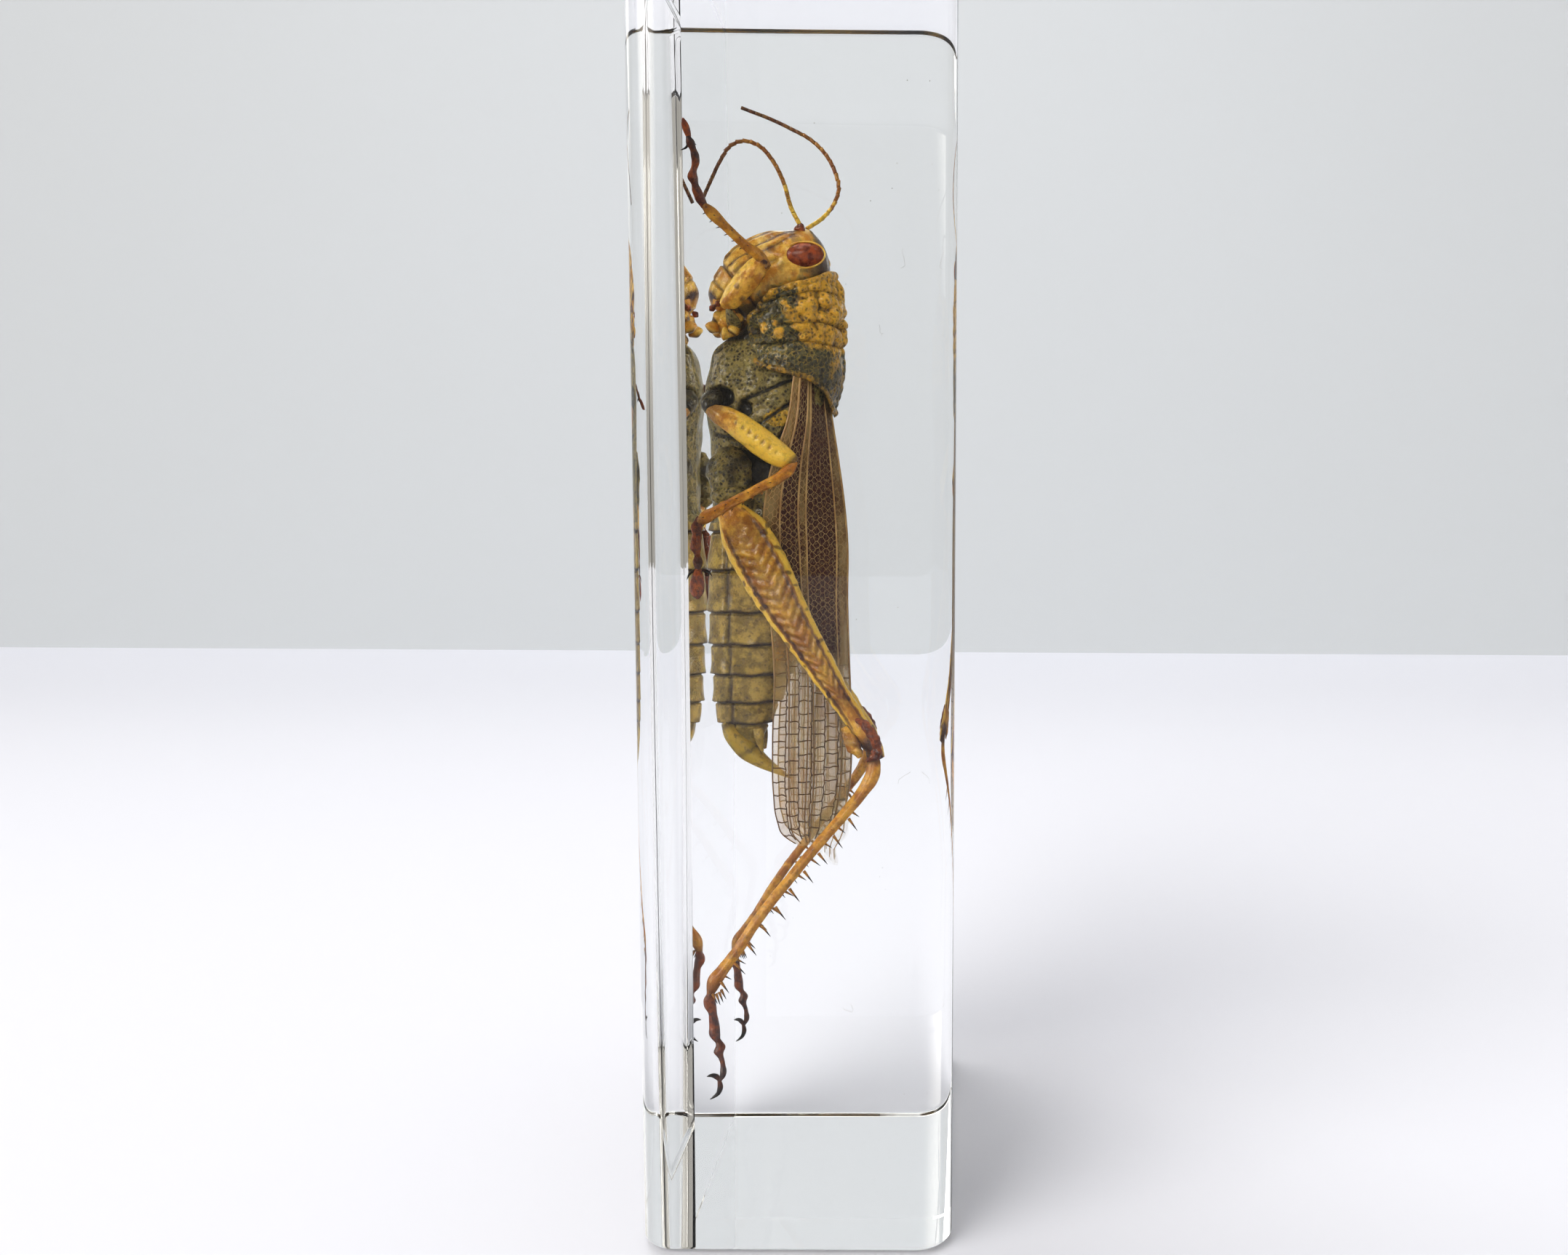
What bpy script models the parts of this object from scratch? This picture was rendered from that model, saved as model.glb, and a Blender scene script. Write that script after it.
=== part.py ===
"""An upright block of clear casting resin, the kind that holds a dried insect.

The block is one solid. Its four upright edges are rounded, and the two ends are
flat with a narrow polished chamfer round them. It stands on its lower end, and
its origin is the centre of that end, with +Z up. Lengths are in metres.
"""

import bmesh
import bpy

WIDTH = 0.028  # along X, across the narrow face
DEPTH = 0.040  # along Y
HEIGHT = 0.115  # along Z
EDGE_RADIUS = 0.0032  # the rounded upright edges
EDGE_SEGMENTS = 12
CHAMFER = 0.0004  # round both ends
CHAMFER_SEGMENTS = 2

RESIN_COLOUR = (0.94, 0.95, 0.95, 1.0)
RESIN_IOR = 1.5
RESIN_ROUGHNESS = 0.02

NEAR = 1e-6


def clear_scene():
    """Remove whatever the file opened with."""
    for thing in list(bpy.data.objects):
        bpy.data.objects.remove(thing, do_unlink=True)


def resin_material():
    """A clear, colourless resin with a polished surface."""
    material = bpy.data.materials.new("resin")
    material.use_nodes = True
    shader = material.node_tree.nodes["Principled BSDF"]
    shader.inputs["Base Color"].default_value = RESIN_COLOUR
    shader.inputs["Roughness"].default_value = RESIN_ROUGHNESS
    shader.inputs["IOR"].default_value = RESIN_IOR
    shader.inputs["Transmission Weight"].default_value = 1.0
    return material


def upright_edges(bm):
    """The edges that run straight up the block."""
    found = []
    for edge in bm.edges:
        run = edge.verts[1].co - edge.verts[0].co
        if abs(run.x) < NEAR and abs(run.y) < NEAR:
            found.append(edge)
    return found


def end_edges(bm):
    """The edges that go round the two flat ends."""
    found = []
    for edge in bm.edges:
        low, high = (vert.co.z for vert in edge.verts)
        level = abs(low - high) < NEAR
        if level and (abs(low) < NEAR or abs(low - HEIGHT) < NEAR):
            found.append(edge)
    return found


def block_mesh():
    """A box whose upright edges are rounded and whose ends are chamfered."""
    bm = bmesh.new()
    bmesh.ops.create_cube(bm, size=1.0)
    bmesh.ops.scale(bm, vec=(WIDTH, DEPTH, HEIGHT), verts=bm.verts)
    bmesh.ops.translate(bm, vec=(0.0, 0.0, HEIGHT / 2), verts=bm.verts)
    bmesh.ops.bevel(
        bm,
        geom=upright_edges(bm),
        offset=EDGE_RADIUS,
        offset_type="OFFSET",
        segments=EDGE_SEGMENTS,
        profile=0.5,
        affect="EDGES",
    )
    bmesh.ops.bevel(
        bm,
        geom=end_edges(bm),
        offset=CHAMFER,
        offset_type="OFFSET",
        segments=CHAMFER_SEGMENTS,
        profile=0.5,
        affect="EDGES",
    )
    bmesh.ops.recalc_face_normals(bm, faces=bm.faces)
    mesh = bpy.data.meshes.new("resin_block")
    bm.to_mesh(mesh)
    bm.free()
    return mesh


def resin_block():
    """The cast block, standing on its lower end."""
    mesh = block_mesh()
    mesh.materials.append(resin_material())
    mesh.shade_smooth()
    mesh.set_sharp_from_angle(angle=0.6)
    block = bpy.data.objects.new("resin_block", mesh)
    bpy.context.scene.collection.objects.link(block)
    return block


def main():
    clear_scene()
    resin_block()


if __name__ == "__main__":
    main()
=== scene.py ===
"""A dried locust sealed head up in an upright block of clear resin.

The block is the one solid of the frame. The insect inside is built here from its own
parts: head, mouthparts, antennae, pronotum, thorax, abdomen, legs and wings. Shapes are
designed in millimetres from the block's lower end and turned into metres when a mesh is
made. X runs from the belly to the back, Y from the near side to the far one, Z up.
"""

from __future__ import annotations

import logging
import math
from dataclasses import dataclass, field
from enum import Enum
from typing import Any, Callable, Sequence

import bmesh
import bpy
import numpy as np
from mathutils import Matrix, Vector


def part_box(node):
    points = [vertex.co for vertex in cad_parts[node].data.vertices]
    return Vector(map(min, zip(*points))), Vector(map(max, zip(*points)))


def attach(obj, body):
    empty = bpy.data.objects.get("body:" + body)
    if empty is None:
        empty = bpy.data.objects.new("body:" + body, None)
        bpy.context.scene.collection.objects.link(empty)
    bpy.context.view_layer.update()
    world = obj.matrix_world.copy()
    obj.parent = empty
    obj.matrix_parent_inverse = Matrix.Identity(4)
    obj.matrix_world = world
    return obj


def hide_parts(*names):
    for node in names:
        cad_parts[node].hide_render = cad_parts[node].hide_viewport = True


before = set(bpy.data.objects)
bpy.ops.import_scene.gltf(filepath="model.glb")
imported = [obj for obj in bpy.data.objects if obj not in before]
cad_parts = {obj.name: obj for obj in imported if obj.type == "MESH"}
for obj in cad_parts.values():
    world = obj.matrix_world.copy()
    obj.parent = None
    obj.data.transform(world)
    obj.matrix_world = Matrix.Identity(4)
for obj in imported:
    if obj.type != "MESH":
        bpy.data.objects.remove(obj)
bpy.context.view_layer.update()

LOG = logging.getLogger("locust_block")

MM = 0.001
BLOCK_NODE = "resin_block"
BODY = "root"

Point2 = tuple[float, float]
Point3 = tuple[float, float, float]
Colour = tuple[float, float, float]
Grid = np.ndarray
Thing = bpy.types.Object
Socket = bpy.types.NodeSocket


class Side(Enum):
    """The insect's two sides, as the sign that Y takes there."""

    NEAR = -1
    FAR = 1

    @property
    def word(self) -> str:
        """The side as a word for a piece's name."""
        return self.name.lower()


# ---------------------------------------------------------------- numbers and curves


def flow(rows: Sequence[Sequence[float]], count: int, keys: int = 3) -> Grid:
    """Run a smooth curve through rows of numbers.

    Args:
        rows: the values that the curve passes through, one row for each stop.
        count: how many rows to return, evenly spaced along the curve.
        keys: how many of the first columns measure the distance between stops.

    Returns:
        An array of count rows.
    """
    stops = np.array(rows, float)
    steps = np.linalg.norm(np.diff(stops[:, :keys], axis=0), axis=1)
    at = np.concatenate([[0.0], np.cumsum(np.maximum(steps, 1e-6))])
    slope = np.gradient(stops, at, axis=0)
    where = np.linspace(0.0, at[-1], count)
    k = np.clip(np.searchsorted(at, where, side="right") - 1, 0, len(at) - 2)
    gap = (at[k + 1] - at[k])[:, None]
    t = (where - at[k])[:, None] / gap
    start, end = stops[k], stops[k + 1]
    return (
        (2 * t**3 - 3 * t**2 + 1) * start
        + (t**3 - 2 * t**2 + t) * gap * slope[k]
        + (3 * t**2 - 2 * t**3) * end
        + (t**3 - t**2) * gap * slope[k + 1]
    )


def profile(stops: Sequence[Point2], at: Grid) -> Grid:
    """Read a smooth one-valued curve.

    Args:
        stops: pairs of place and value, the places rising.
        at: the places to read.

    Returns:
        The value at each place.
    """
    places, values = np.array(stops, float).T
    slope = np.gradient(values, places)
    k = np.clip(np.searchsorted(places, at, side="right") - 1, 0, len(places) - 2)
    gap = places[k + 1] - places[k]
    t = np.clip((at - places[k]) / gap, 0.0, 1.0)
    return (
        (2 * t**3 - 3 * t**2 + 1) * values[k]
        + (t**3 - 2 * t**2 + t) * gap * slope[k]
        + (3 * t**2 - 2 * t**3) * values[k + 1]
        + (t**3 - t**2) * gap * slope[k + 1]
    )


def bell(distance: Grid, width: float) -> Grid:
    """A smooth bump that is 1 where the distance is 0 and fades over the width."""
    return np.exp(-((distance / width) ** 2))


def step(value: Grid, low: float, high: float) -> Grid:
    """A smooth step from 0 at low to 1 at high."""
    t = np.clip((value - low) / (high - low), 0.0, 1.0)
    return t * t * (3 - 2 * t)


def ripple(points: Grid, size: float, seed: int, waves: int = 16) -> Grid:
    """A smooth random field, about -1 to 1, whose lumps have a given size.

    Args:
        points: places in millimetres, with x, y, z in the last axis.
        size: the usual width of a lump, in millimetres.
        seed: picks the field.
        waves: how many plane waves are added up.

    Returns:
        The field at each place.
    """
    rng = np.random.default_rng(seed)
    way = rng.normal(size=(waves, 3))
    way /= np.linalg.norm(way, axis=1)[:, None]
    way *= (math.pi / size) * rng.uniform(0.6, 1.4, waves)[:, None]
    phase = rng.uniform(0, 2 * math.pi, waves)
    return np.sin(points @ way.T + phase).sum(-1) * math.sqrt(2.0 / waves) / 2


def pits(points: Grid, spacing: float, radius: float, seed: int) -> Grid:
    """Round dents scattered over a surface.

    Args:
        points: the surface's grid of places in millimetres.
        spacing: the usual distance between two dents.
        radius: how wide a dent is.
        seed: picks the places.

    Returns:
        1 in the middle of each dent, falling to 0 outside it.
    """
    rng = np.random.default_rng(seed)
    flat = points.reshape(-1, 3)
    low, high = flat.min(0), flat.max(0)
    counts = np.maximum(((high - low) / spacing).astype(int), 1)
    cells = np.floor((flat - low) / spacing).astype(int)
    nearest = np.full(len(flat), 9.0)
    shift = rng.uniform(0.1, 0.9, (*(counts + 3), 3))
    for i in (-1, 0, 1):
        for j in (-1, 0, 1):
            for k in (-1, 0, 1):
                cell = cells + (i, j, k)
                index = np.clip(cell + 1, 0, np.array(shift.shape[:3]) - 1)
                centre = low + (cell + shift[index[:, 0], index[:, 1], index[:, 2]]) * spacing
                nearest = np.minimum(nearest, np.linalg.norm(flat - centre, axis=1))
    return bell(nearest, radius).reshape(points.shape[:-1])


# ---------------------------------------------------------------- meshes


def new_object(name: str, verts: Grid, faces: list, marks: dict[str, Grid]) -> Thing:
    """Make a smooth mesh object from points in millimetres.

    Args:
        name: the piece's name.
        verts: the points, one row each.
        faces: lists of point numbers.
        marks: values at each point, kept as attributes that the materials read.

    Returns:
        The object, at the origin, with its place in its mesh.
    """
    mesh = bpy.data.meshes.new(name)
    mesh.from_pydata((verts * MM).tolist(), [], faces)
    for key, values in marks.items():
        layer = mesh.attributes.new(key, "FLOAT", "POINT")
        layer.data.foreach_set("value", np.asarray(values, np.float32).ravel())
    mesh.validate()
    mesh.shade_smooth()
    thing = bpy.data.objects.new(name, mesh)
    bpy.context.scene.collection.objects.link(thing)
    return thing


def outward(thing: Thing) -> Thing:
    """Turn a closed mesh's faces outwards.

    Args:
        thing: the mesh object.

    Returns:
        The same object.
    """
    bm = bmesh.new()
    bm.from_mesh(thing.data)
    bmesh.ops.recalc_face_normals(bm, faces=bm.faces)
    bm.to_mesh(thing.data)
    bm.free()
    return thing


def joined(name: str, parts: Sequence[Thing]) -> Thing:
    """Join several objects in one, keeping their materials and attributes.

    Args:
        name: the joined piece's name.
        parts: the objects, which all sit at the origin.

    Returns:
        The one object left.
    """
    with bpy.context.temp_override(
        active_object=parts[0], object=parts[0], selected_objects=list(parts),
        selected_editable_objects=list(parts)
    ):
        bpy.ops.object.join()
    parts[0].name = parts[0].data.name = name
    return parts[0]


@dataclass(frozen=True)
class Surface:
    """A round piece's surface, before its relief: a grid of places."""

    along: Grid
    around: Grid
    points: Grid

    @property
    def x(self) -> Grid:
        """How far towards the back each place is, in millimetres."""
        return self.points[..., 0]

    @property
    def y(self) -> Grid:
        """How far towards the far side each place is, in millimetres."""
        return self.points[..., 1]

    @property
    def z(self) -> Grid:
        """How high each place is, in millimetres."""
        return self.points[..., 2]

    @property
    def front(self) -> Grid:
        """The angle from the front edge of each place, from 0 to pi."""
        return np.abs((self.around + math.pi) % (2 * math.pi) - math.pi)


Rule = Callable[[Surface], Grid]


@dataclass(frozen=True)
class Cut:
    """One cross-section of a round piece, drawn in the side view.

    The section runs from front to back in the X-Z plane and is 2 * half deep along Y,
    about the plane Y = y. A power above 2 makes it squarer.
    """

    front: Point2
    back: Point2
    half: float
    y: float = 0.0
    power: float = 2.0


@dataclass(frozen=True)
class Loft:
    """A closed round piece through a row of cuts."""

    cuts: Sequence[Cut]
    rings: int
    sides: int
    relief: Rule | None = None
    marks: dict[str, Rule] = field(default_factory=dict)

    def grid(self) -> tuple[Grid, Grid, Grid, Grid]:
        """Work out the surface.

        Returns:
            How far along and how far round each point is, the points, and their outward ways.
        """
        rows = [
            (
                (c.front[0] + c.back[0]) / 2,
                c.y,
                (c.front[1] + c.back[1]) / 2,
                (c.front[0] - c.back[0]) / 2,
                (c.front[1] - c.back[1]) / 2,
                c.half,
                c.power,
            )
            for c in self.cuts
        ]
        rows = flow(rows, self.rings)
        angle = np.linspace(0, 2 * math.pi, self.sides, endpoint=False)
        along, around = np.meshgrid(np.linspace(0, 1, self.rings), angle, indexing="ij")
        power = 2 / np.maximum(rows[:, 6:7], 1.0)
        cos, sin = np.cos(around), np.sin(around)
        cos = np.sign(cos) * np.abs(cos) ** power
        sin = np.sign(sin) * np.abs(sin) ** power
        reach = np.stack([rows[:, 3], np.zeros(self.rings), rows[:, 4]], -1)
        deep = np.stack([np.zeros(self.rings), rows[:, 5], np.zeros(self.rings)], -1)
        ring = cos[..., None] * reach[:, None] + sin[..., None] * deep[:, None]
        points = rows[:, None, :3] + ring
        wide = np.linalg.norm(reach, axis=1)[:, None, None] + 1e-6
        unit = reach[:, None] / wide
        normal = cos[..., None] * unit * np.maximum(rows[:, 5], 0.05)[:, None, None]
        normal = normal + sin[..., None] * np.array([0, 1.0, 0]) * wide
        normal /= np.linalg.norm(normal, axis=-1, keepdims=True) + 1e-9
        return along, around, points, normal

    def build(self, name: str) -> Thing:
        """Make the piece.

        Args:
            name: its name.

        Returns:
            The closed mesh object.
        """
        along, around, points, normal = self.grid()
        at = Surface(along, around, points)
        marks = {key: rule(at) for key, rule in self.marks.items()}
        if self.relief is not None:
            height = self.relief(at)
            ends = step(along, 0.0, 0.02) * step(1 - along, 0.0, 0.02)
            points = points + normal * (height * ends)[..., None]
        verts = [points.reshape(-1, 3), points[:1].mean(1), points[-1:].mean(1)]
        r, s = self.rings, self.sides
        first, last = r * s, r * s + 1
        faces = [
            (i * s + j, i * s + (j + 1) % s, (i + 1) * s + (j + 1) % s, (i + 1) * s + j)
            for i in range(r - 1)
            for j in range(s)
        ]
        faces += [(first, (j + 1) % s, j) for j in range(s)]
        faces += [(last, (r - 1) * s + j, (r - 1) * s + (j + 1) % s) for j in range(s)]
        for key, values in marks.items():
            marks[key] = np.concatenate([values.ravel(), [values[0].mean(), values[-1].mean()]])
        return outward(new_object(name, np.concatenate(verts), faces, marks))


def plate(
    name: str, points: Grid, thick: float, marks: dict[str, Grid]
) -> Thing:
    """Make a closed thin plate from a grid of points.

    Args:
        name: the piece's name.
        points: the outer face, a grid of places in millimetres.
        thick: how thick the plate is, towards its inner side.
        marks: values at each grid point.

    Returns:
        The plate, with an inner face and a rim.
    """
    r, s = points.shape[:2]
    a = np.gradient(points, axis=0)
    b = np.gradient(points, axis=1)
    normal = np.cross(a, b)
    normal /= np.linalg.norm(normal, axis=-1, keepdims=True) + 1e-9
    inner = points - normal * thick
    n = r * s
    faces = []
    for i in range(r - 1):
        for j in range(s - 1):
            q = (i * s + j, i * s + j + 1, (i + 1) * s + j + 1, (i + 1) * s + j)
            faces.append(q)
            faces.append(tuple(v + n for v in reversed(q)))
    rim = [(0, j) for j in range(s)] + [(i, s - 1) for i in range(1, r)]
    rim += [(r - 1, j) for j in range(s - 2, -1, -1)] + [(i, 0) for i in range(r - 2, 0, -1)]
    ids = [i * s + j for i, j in rim]
    for k, v in enumerate(ids):
        w = ids[(k + 1) % len(ids)]
        faces.append((w, v, v + n, w + n))
    verts = np.concatenate([points.reshape(-1, 3), inner.reshape(-1, 3)])
    double = {key: np.tile(np.asarray(values).ravel(), 2) for key, values in marks.items()}
    return outward(new_object(name, verts, faces, double))


def wires(
    name: str, verts: Grid, edges: list, thick: Grid, tone: Grid | None = None
) -> Thing:
    """Make a net of bare edges that a tree of nodes turns into tubes.

    Args:
        name: the net's name.
        verts: its points in millimetres.
        edges: pairs of point numbers.
        thick: the tube's radius at each point, in millimetres.
        tone: how dark each point is, or None where that isn't marked.

    Returns:
        The net, with its radius as the attribute thick.
    """
    mesh = bpy.data.meshes.new(name)
    mesh.from_pydata((verts * MM).tolist(), edges, [])
    layer = mesh.attributes.new("thick", "FLOAT", "POINT")
    layer.data.foreach_set("value", np.asarray(thick * MM, np.float32))
    if tone is not None:
        shade = mesh.attributes.new("tone", "FLOAT", "POINT")
        shade.data.foreach_set("value", np.asarray(tone, np.float32).ravel())
    thing = bpy.data.objects.new(name, mesh)
    bpy.context.scene.collection.objects.link(thing)
    return thing


def swung(piece: Thing, about: Point3, degrees: float) -> Thing:
    """Turn a mesh in the side view about a joint.

    Args:
        piece: the mesh object.
        about: the joint, in millimetres.
        degrees: how far, from the front towards the head.

    Returns:
        The same piece.
    """
    joint = Matrix.Translation(Vector(about) * MM)
    piece.data.transform(joint @ Matrix.Rotation(math.radians(degrees), 4, "Y") @ joint.inverted())
    return piece


def leant(piece: Thing, about: Point3, lean: Point3) -> Thing:
    """Lean a mesh outwards, more the further it is from a joint.

    Args:
        piece: the mesh.
        about: the joint, in millimetres.
        lean: how far it moves for each millimetre from the joint in the side view.

    Returns:
        The same piece, its mesh moved.
    """
    for vert in piece.data.vertices:
        away = math.hypot(vert.co.x - about[0] * MM, vert.co.z - about[2] * MM)
        vert.co += Vector(lean) * away
    return piece


def limb(start: Point3, end: Point3, stations: Sequence[tuple[float, float, float, float]]) -> list[Cut]:
    """Lay out the cuts of a straight limb.

    Args:
        start: where the limb's line begins.
        end: where it ends.
        stations: for each cut, how far along the line it is, how far its outline stands
            to the two sides of the line in the side view, and its half depth.

    Returns:
        The cuts in order.
    """
    a, b = np.array(start), np.array(end)
    flat = np.array([b[0] - a[0], b[2] - a[2]])
    length = np.linalg.norm(flat)
    way = flat / length
    out = np.array([-way[1], way[0]])
    cuts = []
    for at, left, right, half in stations:
        centre = np.array([a[0], a[2]]) + way * at
        y = a[1] + (b[1] - a[1]) * at / length
        cuts.append(Cut(tuple(centre - out * left), tuple(centre + out * right), half, y))
    return cuts


def bent_limb(path: Sequence[Point3], wide: Sequence[float], deep: Sequence[float]) -> list[Cut]:
    """Lay out the cuts of a limb that follows a bent path.

    Args:
        path: the points of its middle line.
        wide: half its width in the side view at each point.
        deep: half its depth at each point.

    Returns:
        The cuts in order.
    """
    line = np.array(path, float)
    way = np.gradient(line[:, [0, 2]], axis=0)
    way /= np.linalg.norm(way, axis=1)[:, None]
    cuts = []
    for (x, y, z), (wx, wz), w, d in zip(line, way, wide, deep):
        cuts.append(Cut((x + wz * w, z - wx * w), (x - wz * w, z + wx * w), d, y))
    return cuts


# ---------------------------------------------------------------- trees of geometry nodes


def fed_node(
    tree: bpy.types.NodeTree, kind: str, settings: dict[str, Any] | None, feeds: dict[str, Any]
) -> bpy.types.Node:
    """Add a node to a tree and feed its inputs.

    Args:
        tree: the tree.
        kind: the node's full type.
        settings: properties of the node itself.
        feeds: for each input, given by its name with _ for a space or by its number
            after an n, the value or the socket that goes in.

    Returns:
        The node.
    """
    node = tree.nodes.new(kind)
    for key, value in (settings or {}).items():
        setattr(node, key, value)
    for key, value in feeds.items():
        number = key[1:].isdigit() and key[0] == "n"
        socket = node.inputs[int(key[1:])] if number else node.inputs[key.replace("_", " ")]
        if isinstance(value, Socket):
            tree.links.new(value, socket)
        else:
            socket.default_value = value
    return node


class Tree:
    """A tree of geometry nodes with named inputs."""

    def __init__(self, name: str, **inputs: Any) -> None:
        """Open the tree.

        Args:
            name: the tree's name.
            inputs: each named input's usual value, which gives its type. None is a material.
        """
        self.group = bpy.data.node_groups.new(name, "GeometryNodeTree")
        face = self.group.interface
        face.new_socket("Geometry", in_out="INPUT", socket_type="NodeSocketGeometry")
        kinds = {int: "Int", float: "Float", tuple: "Vector", type(None): "Material"}
        for key, value in inputs.items():
            kind = "NodeSocket" + kinds[type(value)]
            socket = face.new_socket(key, in_out="INPUT", socket_type=kind)
            if value is not None:
                socket.default_value = value
        face.new_socket("Geometry", in_out="OUTPUT", socket_type="NodeSocketGeometry")
        self.entry = self.group.nodes.new("NodeGroupInput")
        self.exit = self.group.nodes.new("NodeGroupOutput")

    def add(self, kind: str, settings: dict[str, Any] | None = None, **feeds: Any) -> bpy.types.Node:
        """Add a node.

        Args:
            kind: its type, less the word GeometryNode where that is how it starts.
            settings: properties of the node itself.
            feeds: values or sockets for its inputs, as in fed_node.

        Returns:
            The node.
        """
        known = kind if kind.startswith(("ShaderNode", "FunctionNode")) else "GeometryNode" + kind
        return fed_node(self.group, known, settings, feeds)

    def given(self, key: str) -> Socket:
        """The named input as a socket to draw from."""
        return self.entry.outputs[key]

    def end(self, geometry: Socket) -> Tree:
        """Close the tree: realize what was instanced, smooth it and give it its material.

        Args:
            geometry: what the tree has made.

        Returns:
            The tree, ready to use.
        """
        real = self.add("RealizeInstances", Geometry=geometry)
        smooth = self.add("SetShadeSmooth", Geometry=real.outputs[0])
        dressed = self.add("SetMaterial", Geometry=smooth.outputs[0], Material=self.given("Material"))
        self.group.links.new(dressed.outputs[0], self.exit.inputs[0])
        return self

    def grow(self, name: str, source: Thing, values: dict[str, Any]) -> Thing:
        """Run the tree on a source and keep the result as a plain mesh.

        Args:
            name: the new piece's name.
            source: what the tree starts from, which is used up.
            values: values for the named inputs.

        Returns:
            The new piece, with no modifier.
        """
        modifier = source.modifiers.new("grow", "NODES")
        modifier.node_group = self.group
        for item in self.group.interface.items_tree:
            if item.item_type == "SOCKET" and item.in_out == "INPUT" and item.name in values:
                modifier[item.identifier] = values[item.name]
        ready = source.evaluated_get(bpy.context.evaluated_depsgraph_get())
        mesh = bpy.data.meshes.new_from_object(ready)
        source.modifiers.remove(modifier)
        bpy.data.objects.remove(source, do_unlink=True)
        mesh.name = name
        piece = bpy.data.objects.new(name, mesh)
        bpy.context.scene.collection.objects.link(piece)
        return piece


def tube_tree() -> Tree:
    """A tree that turns a net of edges into thin tubes, for veins and fibres.

    Returns:
        The tree, with the inputs Sides and Material.
    """
    tree = Tree("vein_tubes", Sides=5, Material=None)
    line = tree.add("MeshToCurve", Mesh=tree.given("Geometry"))
    thick = tree.add("InputNamedAttribute", {"data_type": "FLOAT"}, Name="thick")
    sized = tree.add("SetCurveRadius", Curve=line.outputs[0], Radius=thick.outputs[0])
    ring = tree.add("CurvePrimitiveCircle", Resolution=tree.given("Sides"), Radius=1.0)
    tube = tree.add("CurveToMesh", Curve=sized.outputs[0], Profile_Curve=ring.outputs[0], Fill_Caps=True)
    if "Scale" in tube.inputs:
        tree.group.links.new(thick.outputs[0], tube.inputs["Scale"])
    return tree.end(tube.outputs[0])


def bead_tree() -> Tree:
    """A tree that strings short flared segments along a path, for antennae.

    Returns:
        The tree, with the inputs Count, Flare, Sides and Material.
    """
    tree = Tree("antenna_segments", Count=24, Flare=0.93, Sides=12, Length=0.001, Material=None)
    line = tree.add("MeshToCurve", Mesh=tree.given("Geometry"))
    even = tree.add("ResampleCurve", Curve=line.outputs[0], Count=tree.given("Count"))
    way = tree.add("InputTangent")
    turn = tree.add("FunctionNodeAlignRotationToVector", {"axis": "Z"}, Vector=way.outputs[0])
    thick = tree.add("InputNamedAttribute", {"data_type": "FLOAT"}, Name="thick")
    size = tree.add(
        "ShaderNodeCombineXYZ", X=thick.outputs[0], Y=thick.outputs[0], Z=tree.given("Length")
    )
    bead = tree.add(
        "MeshCone",
        Vertices=tree.given("Sides"),
        Side_Segments=3,
        Radius_Top=1.0,
        Radius_Bottom=tree.given("Flare"),
        Depth=1.0,
    )
    put = tree.add(
        "InstanceOnPoints",
        Points=even.outputs[0],
        Instance=bead.outputs[0],
        Rotation=turn.outputs[0],
        Scale=size.outputs[0],
    )
    return tree.end(put.outputs[0])


def spine_tree() -> Tree:
    """A tree that sets a row of leaning spines along a path.

    Returns:
        The tree, with the inputs Count, Length, Thick, Lean, Uneven, Seed and Material.
    """
    tree = Tree(
        "spine_row", Count=10, Length=0.0015, Thick=0.0002, Lean=(0.0, 0.0, 1.0), Uneven=0.2, Seed=1,
        Material=None,
    )
    line = tree.add("MeshToCurve", Mesh=tree.given("Geometry"))
    even = tree.add("ResampleCurve", Curve=line.outputs[0], Count=tree.given("Count"))
    spread = tree.add(
        "FunctionNodeRandomValue", {"data_type": "FLOAT_VECTOR"}, n0=(-0.12,) * 3, n1=(0.12,) * 3
    )
    tree.group.links.new(tree.given("Seed"), spread.inputs["Seed"])
    lean = tree.add(
        "ShaderNodeVectorMath", {"operation": "ADD"}, n0=tree.given("Lean"), n1=spread.outputs[0]
    )
    turn = tree.add("FunctionNodeAlignRotationToVector", {"axis": "Z"}, Vector=lean.outputs[0])
    least = tree.add("ShaderNodeMath", {"operation": "SUBTRACT"}, n0=1.0, n1=tree.given("Uneven"))
    share = tree.add("FunctionNodeRandomValue", {"data_type": "FLOAT"})
    tree.group.links.new(least.outputs[0], share.inputs[2])
    share.inputs[3].default_value = 1.0
    tree.group.links.new(tree.given("Seed"), share.inputs["Seed"])
    long = tree.add(
        "ShaderNodeMath", {"operation": "MULTIPLY"}, n0=share.outputs[1], n1=tree.given("Length")
    )
    size = tree.add(
        "ShaderNodeCombineXYZ", X=tree.given("Thick"), Y=tree.given("Thick"), Z=long.outputs[0]
    )
    cone = tree.add(
        "MeshCone", Vertices=8, Side_Segments=5, Radius_Top=0.12, Radius_Bottom=1.0, Depth=1.0
    )
    place = tree.add("InputPosition")
    apart = tree.add("ShaderNodeSeparateXYZ", Vector=place.outputs[0])
    marked = tree.add(
        "StoreNamedAttribute",
        {"data_type": "FLOAT", "domain": "POINT"},
        Geometry=cone.outputs[0],
        Name="tone",
        Value=apart.outputs[2],
    )
    put = tree.add(
        "InstanceOnPoints",
        Points=even.outputs[0],
        Instance=marked.outputs[0],
        Rotation=turn.outputs[0],
        Scale=size.outputs[0],
    )
    return tree.end(put.outputs[0])


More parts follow.
